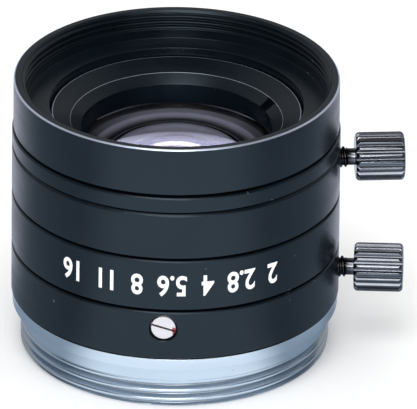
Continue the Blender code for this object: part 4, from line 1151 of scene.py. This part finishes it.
cell_radius, cell_bottom, cell_top = extent("rear_cell")
rear_cell = turned("rear_cell_skin", [
    (CELL_HOLE, cell_top), (CELL_NOSE, cell_top), (CELL_NOSE, CELL_SHOULDER), (cell_radius, CELL_SHOULDER),
    (cell_radius, tube_bottom), (CELL_SPIGOT, tube_bottom), (CELL_SPIGOT, cell_bottom),
    (CELL_BORE, cell_bottom), (CELL_BORE, cell_top - CELL_LIP), (CELL_HOLE, cell_top - CELL_LIP),
])
dress(rear_cell, "lens", "matte_black", "rear_cell")

radius, low, high = extent("inner_retaining_ring")
nose = low + fall(SECOND_GLASS_CURVE, radius) - fall(SECOND_GLASS_CURVE, INNER_RING_HOLE)
inner_ring = turned("inner_retaining_ring_skin", [
    (INNER_RING_HOLE, high), (radius, high), (radius, low), (INNER_RING_HOLE, nose)])
dress(inner_ring, "lens", "matte_black", "inner_retaining_ring")

# %% [markdown]
# ## Thumb screws
# Each lock screw has a straight-knurled head of black nickel, a thin neck and a short thread that enters
# the ring. The knurl is a wave of the radius round the screw's own axis, and the head's rounded ends are
# a limit on that radius, so that the flutes run out on the rounding as they do on the real screw.

# %% Knurled head
HEAD_LENGTH = 4.05 * MM
HEAD_RADIUS = 2.0 * MM
HEAD_END_ROUND = 0.36 * MM
HEAD_ROUND_ROWS = 9
KNURL_TEETH = 20
KNURL_DEPTH = 0.24 * MM
KNURL_LAND = 0.3
KNURL_FLANK = 0.55
POINTS_A_TOOTH = 12
SCREW_COLUMNS = KNURL_TEETH * POINTS_A_TOOTH


def knurled_head(start, end, angle):
    """Rows from the end down: the smaller of the end's rounding and of a flat-topped wave of the angle."""
    along = np.linspace(0, 1, HEAD_ROUND_ROWS) * TURN / 4
    limit = HEAD_RADIUS - HEAD_END_ROUND + HEAD_END_ROUND * np.sin(along)
    drop = HEAD_END_ROUND * (1 - np.cos(along))
    tooth = np.abs((angle * KNURL_TEETH / TURN) % 1 - 0.5) * 2
    flute = HEAD_RADIUS - KNURL_DEPTH * np.clip((tooth - KNURL_LAND) / KNURL_FLANK, 0, 1)
    radii = np.minimum(np.concatenate([limit, limit[::-1]])[:, None], flute[None])
    return radii, np.concatenate([end - drop, start + drop[::-1]])


print("the knurl has", KNURL_TEETH, "teeth and", SCREW_COLUMNS, "columns")

# %% Thumb screws
NECK_LENGTH = 0.65 * MM
SCREW_NECK_RADIUS = 0.7 * MM
SCREW_THREAD_RADIUS = 0.88 * MM
SCREW_PITCH = 0.4 * MM
SCREW_THREAD_DEPTH = 0.17 * MM
SCREW_ROWS_A_PITCH = 14
SCREW_TIP_CHAMFER = 0.25 * MM
SCREW_RUN_OUT = 0.12 * MM
SCREW_FIRST_CREST = 0.2 * MM
DIMPLE_RADIUS = 1.2 * MM
DIMPLE_DEPTH = 0.12 * MM
# how far the screw's neck and thread blend to near-black: painted shade under the head, with some dirt
SHANK_SHADE_AND_DIRT = 0.85


def make_lock_screw(name, node):
    """Rows run from the head's end face down the head, neck and thread to the tip, all on one axis."""
    azimuth = LOCK_AZIMUTHS[node]
    low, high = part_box(node)
    end = (high.x - (HEAD_RADIUS - HEAD_END_ROUND) * abs(np.sin(azimuth))) / np.cos(azimuth)
    start = end - HEAD_LENGTH
    tip = low.x / np.cos(azimuth)
    shank_top = start - NECK_LENGTH
    angle = round_angles(SCREW_COLUMNS)
    cap = rounded([(0, end - DIMPLE_DEPTH), (DIMPLE_RADIUS - DIMPLE_DEPTH, end - DIMPLE_DEPTH),
                   (DIMPLE_RADIUS, end), (HEAD_RADIUS - HEAD_END_ROUND - KNURL_DEPTH, end)])[:-1]
    head, level = knurled_head(start, end, angle)
    neck = rounded([(HEAD_RADIUS, start), (SCREW_NECK_RADIUS, start), (SCREW_NECK_RADIUS, shank_top)])
    neck = neck[ROUND_POINTS:-1]
    shank = np.linspace(shank_top, tip + END_GAP, int(SCREW_ROWS_A_PITCH * (shank_top - tip) / SCREW_PITCH))
    cone = np.interp(shank, [tip, tip + SCREW_TIP_CHAMFER, shank_top - SCREW_RUN_OUT, shank_top],
                     [SCREW_THREAD_RADIUS - SCREW_TIP_CHAMFER, SCREW_THREAD_RADIUS, SCREW_THREAD_RADIUS,
                      SCREW_NECK_RADIUS])
    wave = thread_wave(shank[:, None], angle[None], SCREW_PITCH, shank_top - SCREW_FIRST_CREST)
    thread = np.minimum(cone[:, None], SCREW_THREAD_RADIUS - SCREW_THREAD_DEPTH * wave)
    radii = np.concatenate([all_round(cap[:, 0], SCREW_COLUMNS), head, all_round(neck[:, 0], SCREW_COLUMNS),
                            thread, np.zeros((1, SCREW_COLUMNS))])
    heights = np.concatenate([cap[:, 1], level, neck[:, 1], shank, [tip]])
    shade_and_dirt = np.zeros(len(heights))
    # painted shade, with some dirt, on the neck and thread below the head
    shade_and_dirt[len(cap) + len(level) + ROUND_POINTS:] = SHANK_SHADE_AND_DIRT
    return sweep(name, radii, heights, shade_and_dirt, SCREW_COLUMNS, outward(azimuth, centre_height(node)), "shade_and_dirt")


for ring in ("focus", "iris"):
    lock = make_lock_screw(ring + "_thumb_screw", ring + "_lock_screw")
    dress(lock, ring + "_lock", "black_nickel", ring + "_lock_screw")

# %% [markdown]
# ## The slotted screw
# A bright screw joins the iris ring to the iris inside. Its face is a grid of chords: each line across
# the slot is a chord of the disc, and the lines at the slot's two edges are doubled, once at the face and
# once at the slot's floor, which gives upright slot walls. The slot's floor is marked to be darkened: painted
# shade, with some dirt.

# %% Slotted screw
SLOT_WIDTH = 0.18 * MM
SLOT_DEPTH = 0.35 * MM
# how far the slot's floor blends to near-black: painted shade, with some dirt
SLOT_SHADE_AND_DIRT = 0.75
SLOT_TILT = np.radians(-16)
SLOT_CLEAR = 0.02 * MM
DRIVE_HEAD_RADIUS = 1.08 * MM
DRIVE_HEAD_HEIGHT = 0.8 * MM
DRIVE_HEAD_CHAMFER = 0.09 * MM
DRIVE_PIN_RADIUS = 0.5 * MM
DRIVE_FACE = 13.35 * MM
DRIVE_PIN_END = 8.2 * MM
CHORDS_A_SIDE = 14
POINTS_A_CHORD = 13


def slotted_face():
    """Across is the distance from the slot's middle line, along runs over the chord from -1 to 1."""
    rim = DRIVE_HEAD_RADIUS - DRIVE_HEAD_CHAMFER
    half = SLOT_WIDTH / 2
    wing = rim * np.sin(np.linspace(-1, 0, CHORDS_A_SIDE) * TURN / 4)
    wing = wing[wing < -half - SLOT_CLEAR]
    across = np.concatenate([wing, [-half, -half], [0], [half, half], -wing[::-1]])
    sunk = np.zeros(len(across))
    sunk[len(wing) + 1:-len(wing) - 1] = SLOT_DEPTH
    along = np.linspace(-1, 1, POINTS_A_CHORD)
    chord = np.sqrt(np.maximum(rim ** 2 - across ** 2, 0))
    face = np.stack([all_round(across, POINTS_A_CHORD), chord[:, None] * along,
                     all_round(DRIVE_FACE - sunk, POINTS_A_CHORD)], -1)
    return face, sunk


def make_slotted_screw():
    """The face's outer loop is carried down over the head, in to the pin and down to the pin's end."""
    face, sunk = slotted_face()
    rows, columns = face.shape[:2]
    index = np.arange(rows * columns).reshape(rows, columns)
    quads = [patch_quads(rows, columns)]
    loop = np.concatenate([index[:, -1], index[::-1, 0]])
    points = face.reshape(-1, 3)
    edge = points[loop]
    ways = edge[:, :2] / np.linalg.norm(edge[:, :2], axis=1)[:, None]
    head_floor = DRIVE_FACE - DRIVE_HEAD_HEIGHT
    below = np.minimum(edge[:, 2] - SLOT_CLEAR, DRIVE_FACE - DRIVE_HEAD_CHAMFER)
    levels = [(DRIVE_HEAD_RADIUS, below), (DRIVE_HEAD_RADIUS, head_floor), (DRIVE_PIN_RADIUS, head_floor),
              (DRIVE_PIN_RADIUS, DRIVE_PIN_END), (0, DRIVE_PIN_END)]
    previous = loop
    for size, height in levels:
        current = len(points) + np.arange(len(loop))
        level = np.broadcast_to(height, len(loop))[:, None]
        points = np.concatenate([points, np.concatenate([ways * size, level], 1)])
        quads.append(np.stack([previous, np.roll(previous, -1), np.roll(current, -1), current], -1))
        previous = current
    shade_and_dirt = np.zeros(len(points))
    # painted shade, with some dirt, on the slot's floor
    shade_and_dirt[:rows * columns] = SLOT_SHADE_AND_DIRT * np.repeat(sunk > 0, columns)
    where = outward(DRIVE_AZIMUTH, DRIVE_HEIGHT) @ np.array(Matrix.Rotation(SLOT_TILT, 4, "Z"))
    return build("slotted_screw", points, np.concatenate(quads), shade_and_dirt, where, "shade_and_dirt")


dress(make_slotted_screw(), "iris", "steel", "iris_drive_screw")

# %% [markdown]
# ## Dial numbers
# Plain aperture numbers are printed in white on the fixed band. They stand on their heads in this view,
# because the lens is set down on its camera thread. Text is made a mesh first, and then each point's x
# becomes an angle round the band and its y a height.

# %% Text as a mesh
DIAL_TEXT = "2  2.8  4  5.6  8  11  16"
TEXT_WEIGHT = 0.022  # share of the letter height added to each stroke's side
TEXT_THICKNESS = 0.5
TEXT_MERGE = 1e-5


def text_mesh():
    """The dial's text as a flat mesh of letter size 1."""
    curve = bpy.data.curves.new("dial_text", "FONT")
    curve.body = DIAL_TEXT
    curve.size = 1.0
    curve.extrude = TEXT_THICKNESS
    curve.offset = TEXT_WEIGHT
    text = link("dial_text", curve)
    bpy.context.view_layer.update()
    mesh = bpy.data.meshes.new_from_object(text.evaluated_get(bpy.context.evaluated_depsgraph_get()))
    bpy.data.objects.remove(text)
    clean(mesh, TEXT_MERGE)
    return mesh


numbers = text_mesh()
print("dial text:", DIAL_TEXT, "with", len(numbers.vertices), "points")

# %% Dial numbers
DIAL_AZIMUTH = np.radians(-92)
DIAL_HEIGHT = 11.5 * MM
DIAL_CAP = 1.9 * MM
DIAL_LENGTH = 19.0 * MM
INK_PROUD = 0.012 * MM
INK_THICKNESS = 0.02 * MM


def wrap(mesh, band):
    """Angle = middle azimuth less x over the band's radius, height = middle height less y."""
    flat = np.empty(len(mesh.vertices) * 3)
    mesh.vertices.foreach_get("co", flat)
    flat = flat.reshape(-1, 3)
    low = flat.min(0)
    high = flat.max(0)
    share = (flat - (low + high) / 2) / (high - low)
    radius = band + INK_PROUD - INK_THICKNESS * (0.5 - share[:, 2])
    angle = DIAL_AZIMUTH - share[:, 0] * DIAL_LENGTH / band
    height = DIAL_HEIGHT - share[:, 1] * DIAL_CAP
    placed = np.stack([radius * np.cos(angle), radius * np.sin(angle), height], -1)
    mesh.vertices.foreach_set("co", placed.ravel())
    mesh.update()


wrap(numbers, extent("scale_band")[0])
dial_numbers = link("dial_numbers", numbers)
dial_numbers.data.materials.append(white_ink)
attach(dial_numbers, "mount")
print("the dial numbers have", len(numbers.polygons), "faces")

# %% [markdown]
# ## CAD pieces that stay
# The flat blades, the plate and the cam ring of the iris, and the guide screw are right as they are. They
# only get their finishes.

# %% Finishes for the CAD pieces that stay
KEPT = {"guide_screw": "steel", "iris_base_plate": "matte_black", "iris_cam_ring": "blade_steel"}
KEPT.update({f"iris_blade_{number}": "blade_steel" for number in range(1, 7)})
for name, finish in KEPT.items():
    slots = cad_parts[name].data.materials
    slots.clear()
    slots.append(finishes[finish])
print("CAD pieces kept:", ", ".join(KEPT))

# %% [markdown]
# ## Floor
# The lens stands on a plain white floor that keeps its shadow. The rings' walls are mirrors of the floor,
# and in the photograph they are darker at their sides. So what gloss sees of the floor is pale in front
# and behind and grey at the sides, set by the direction from the lens.

# %% Floor
FLOOR_SIZE = 1.2
FLOOR_DROP = 0.01 * MM
FLOOR_WHITE = (0.93, 0.93, 0.93, 1)
MIRRORED_FRONT = (0.80, 0.90, 1.0, 1)
MIRRORED_SIDES = (0.27, 0.34, 0.42, 1)
MIRRORED_BACK = (0.80, 0.84, 1.0, 1)


def make_floor():
    """A wide flat sheet just under the lens, nearly white. It shows the contact shadow."""
    mesh = bpy.data.meshes.new("floor")
    half = FLOOR_SIZE / 2
    corners = [(-half, -half, -FLOOR_DROP), (half, -half, -FLOOR_DROP),
               (half, half, -FLOOR_DROP), (-half, half, -FLOOR_DROP)]
    mesh.from_pydata(corners, [], [(0, 1, 2, 3)])
    material, tree, shader = start_finish("floor")
    way = add(tree, "ShaderNodeVectorMath", {"operation": "NORMALIZE"}, _0=object_place(tree)).outputs[0]
    along = split(tree, way)[1]
    mirrored = blend(tree, ramp(tree, along, -0.85, -0.5, 1.0, 0.0), MIRRORED_SIDES, MIRRORED_FRONT)
    mirrored = blend(tree, ramp(tree, along, 0.2, 0.7), mirrored, MIRRORED_BACK)
    path = add(tree, "ShaderNodeLightPath").outputs
    colour = blend(tree, path["Is Camera Ray"], FLOOR_WHITE, (1, 1, 1, 1))
    colour = blend(tree, path["Is Glossy Ray"], colour, mirrored)
    feed(tree, shader, Base_Color=colour, Roughness=0.9, Specular_IOR_Level=0.0)
    mesh.materials.append(material)
    floor = link("floor", mesh)


make_floor()
print("floor:", FLOOR_SIZE, "m square")

# %% [markdown]
# ## World
# The world lights the lens evenly from all round, and it is plain white where the camera or the glass
# looks at it. Metal is made by what it mirrors, and here it mirrors a dim room: a grey wall behind, which
# the flat tops show, and a bright band high in front, which draws the light along the rounded edges.

# %% World
WORLD_LEVEL = 0.93
DARK_LEVEL = 0.04
BACK_LEVEL = 0.32
FRONT_LEVEL = 3.5


def make_world():
    """Levels by direction: ramps of how far back (y) and how high (z) it points, multiplied and added."""
    world = bpy.data.worlds.new("studio")
    bpy.context.scene.world = world
    world.use_nodes = True
    tree = world.node_tree
    _, back, high = split(tree, add(tree, "ShaderNodeTexCoord").outputs["Generated"])
    wall = times(tree, ramp(tree, back, -0.1, 0.3, 0.0, BACK_LEVEL),
                ramp(tree, high, 0.75, 0.95, 1.0, 0.0))
    band = times(tree, ramp(tree, high, 0.45, 0.55), ramp(tree, high, 0.68, 0.78, 1.0, 0.0))
    band = times(tree, band, ramp(tree, back, -0.66, -0.5, FRONT_LEVEL, 0.0))
    mirrored = math(tree, "ADD", math(tree, "ADD", wall, band), DARK_LEVEL)
    path = add(tree, "ShaderNodeLightPath").outputs
    seen = math(tree, "MAXIMUM", path["Is Camera Ray"], path["Is Transmission Ray"])
    level = math(tree, "ADD", WORLD_LEVEL, times(tree, seen, 1 - WORLD_LEVEL))
    gloss = path["Is Glossy Ray"]
    level = times(tree, level, math(tree, "SUBTRACT", 1.0, gloss))
    level = math(tree, "ADD", level, times(tree, gloss, mirrored))
    feed(tree, tree.nodes["Background"], Color=(1, 1, 1, 1), Strength=level)


make_world()
print("world:", bpy.context.scene.world.name)

# %% [markdown]
# ## A card for the glass
# In the photograph the front glass mirrors something bright high behind the lens. A glowing card stands
# in for it. Only the five glasses get its light, through light linking, so the metal and the floor stay
# as they are.

# %% Glass card
CARD_DISTANCE = 0.4
CARD_ACROSS = np.radians([-24, -8, 8, 24])
CARD_UPWARD = np.radians([12, 22, 32, 42])
CARD_LOW = 0.2
CARD_HIGH = 12.0
CARD_COLOUR = (0.95, 0.95, 1.0, 1)


def make_glass_card(receivers):
    """A glowing sheet, dim at its foot and bright above.

    Point = distance times (sin a cos e, cos a cos e, sin e), a across and e upward.
    """
    across, upward = np.meshgrid(CARD_ACROSS, CARD_UPWARD, indexing="ij")
    points = np.stack([np.sin(across) * np.cos(upward), np.cos(across) * np.cos(upward), np.sin(upward)], -1)
    card = build("glass_card", points * CARD_DISTANCE, patch_quads(*across.shape), np.zeros(across.size))
    material = bpy.data.materials.new("glass card")
    material.use_nodes = True
    tree = material.node_tree
    height = split(tree, object_place(tree))[2]
    level = ramp(tree, height, CARD_DISTANCE * 0.40, CARD_DISTANCE * 0.58, CARD_LOW, CARD_HIGH)
    glow = add(tree, "ShaderNodeEmission", Color=CARD_COLOUR, Strength=level)
    clear = add(tree, "ShaderNodeBsdfTransparent")
    both = add(tree, "ShaderNodeAddShader", _0=glow.outputs[0], _1=clear.outputs[0])
    tree.links.new(both.outputs[0], tree.nodes["Material Output"].inputs["Surface"])
    card.data.materials.append(material)
    card.visible_camera = card.visible_diffuse = card.visible_shadow = False
    lit = bpy.data.collections.new("glass card receivers")
    for piece in receivers:
        lit.objects.link(piece)
    card.light_linking.receiver_collection = lit


make_glass_card(glasses)
print("the card lights", len(glasses), "glasses")

# %% [markdown]
# ## Lamps
# Two soft lamps give the light a direction: one above and in front, one lower in front. They are weak,
# because the world does most of the work, and they are soft because they are not small.

# %% Lamps
LAMPS = {  # place in metres, width, height, power in watts
    "top lamp": ((-0.04, -0.185, 0.42), 0.2, 0.2, 0.5),
    "front lamp": ((0.0, -0.45, 0.21), 0.17, 0.08, 0.5),
}


def add_lamp(name, place, wide, tall, power):
    """A soft lamp that looks at the lens."""
    lamp = bpy.data.lights.new(name, "AREA")
    lamp.shape = "RECTANGLE"
    lamp.size = wide
    lamp.size_y = tall
    lamp.energy = power
    holder = link(name, lamp)
    place = np.array(place)
    holder.location = place
    way = Matrix.Identity(3)
    way.col[2] = (place - TARGET) / np.linalg.norm(place - TARGET)
    holder.rotation_euler = way.col[2].to_track_quat("Z", "Y").to_euler()
    holder.visible_camera = False


for name, settings in LAMPS.items():
    add_lamp(name, *settings)
print("lamps:", ", ".join(LAMPS))
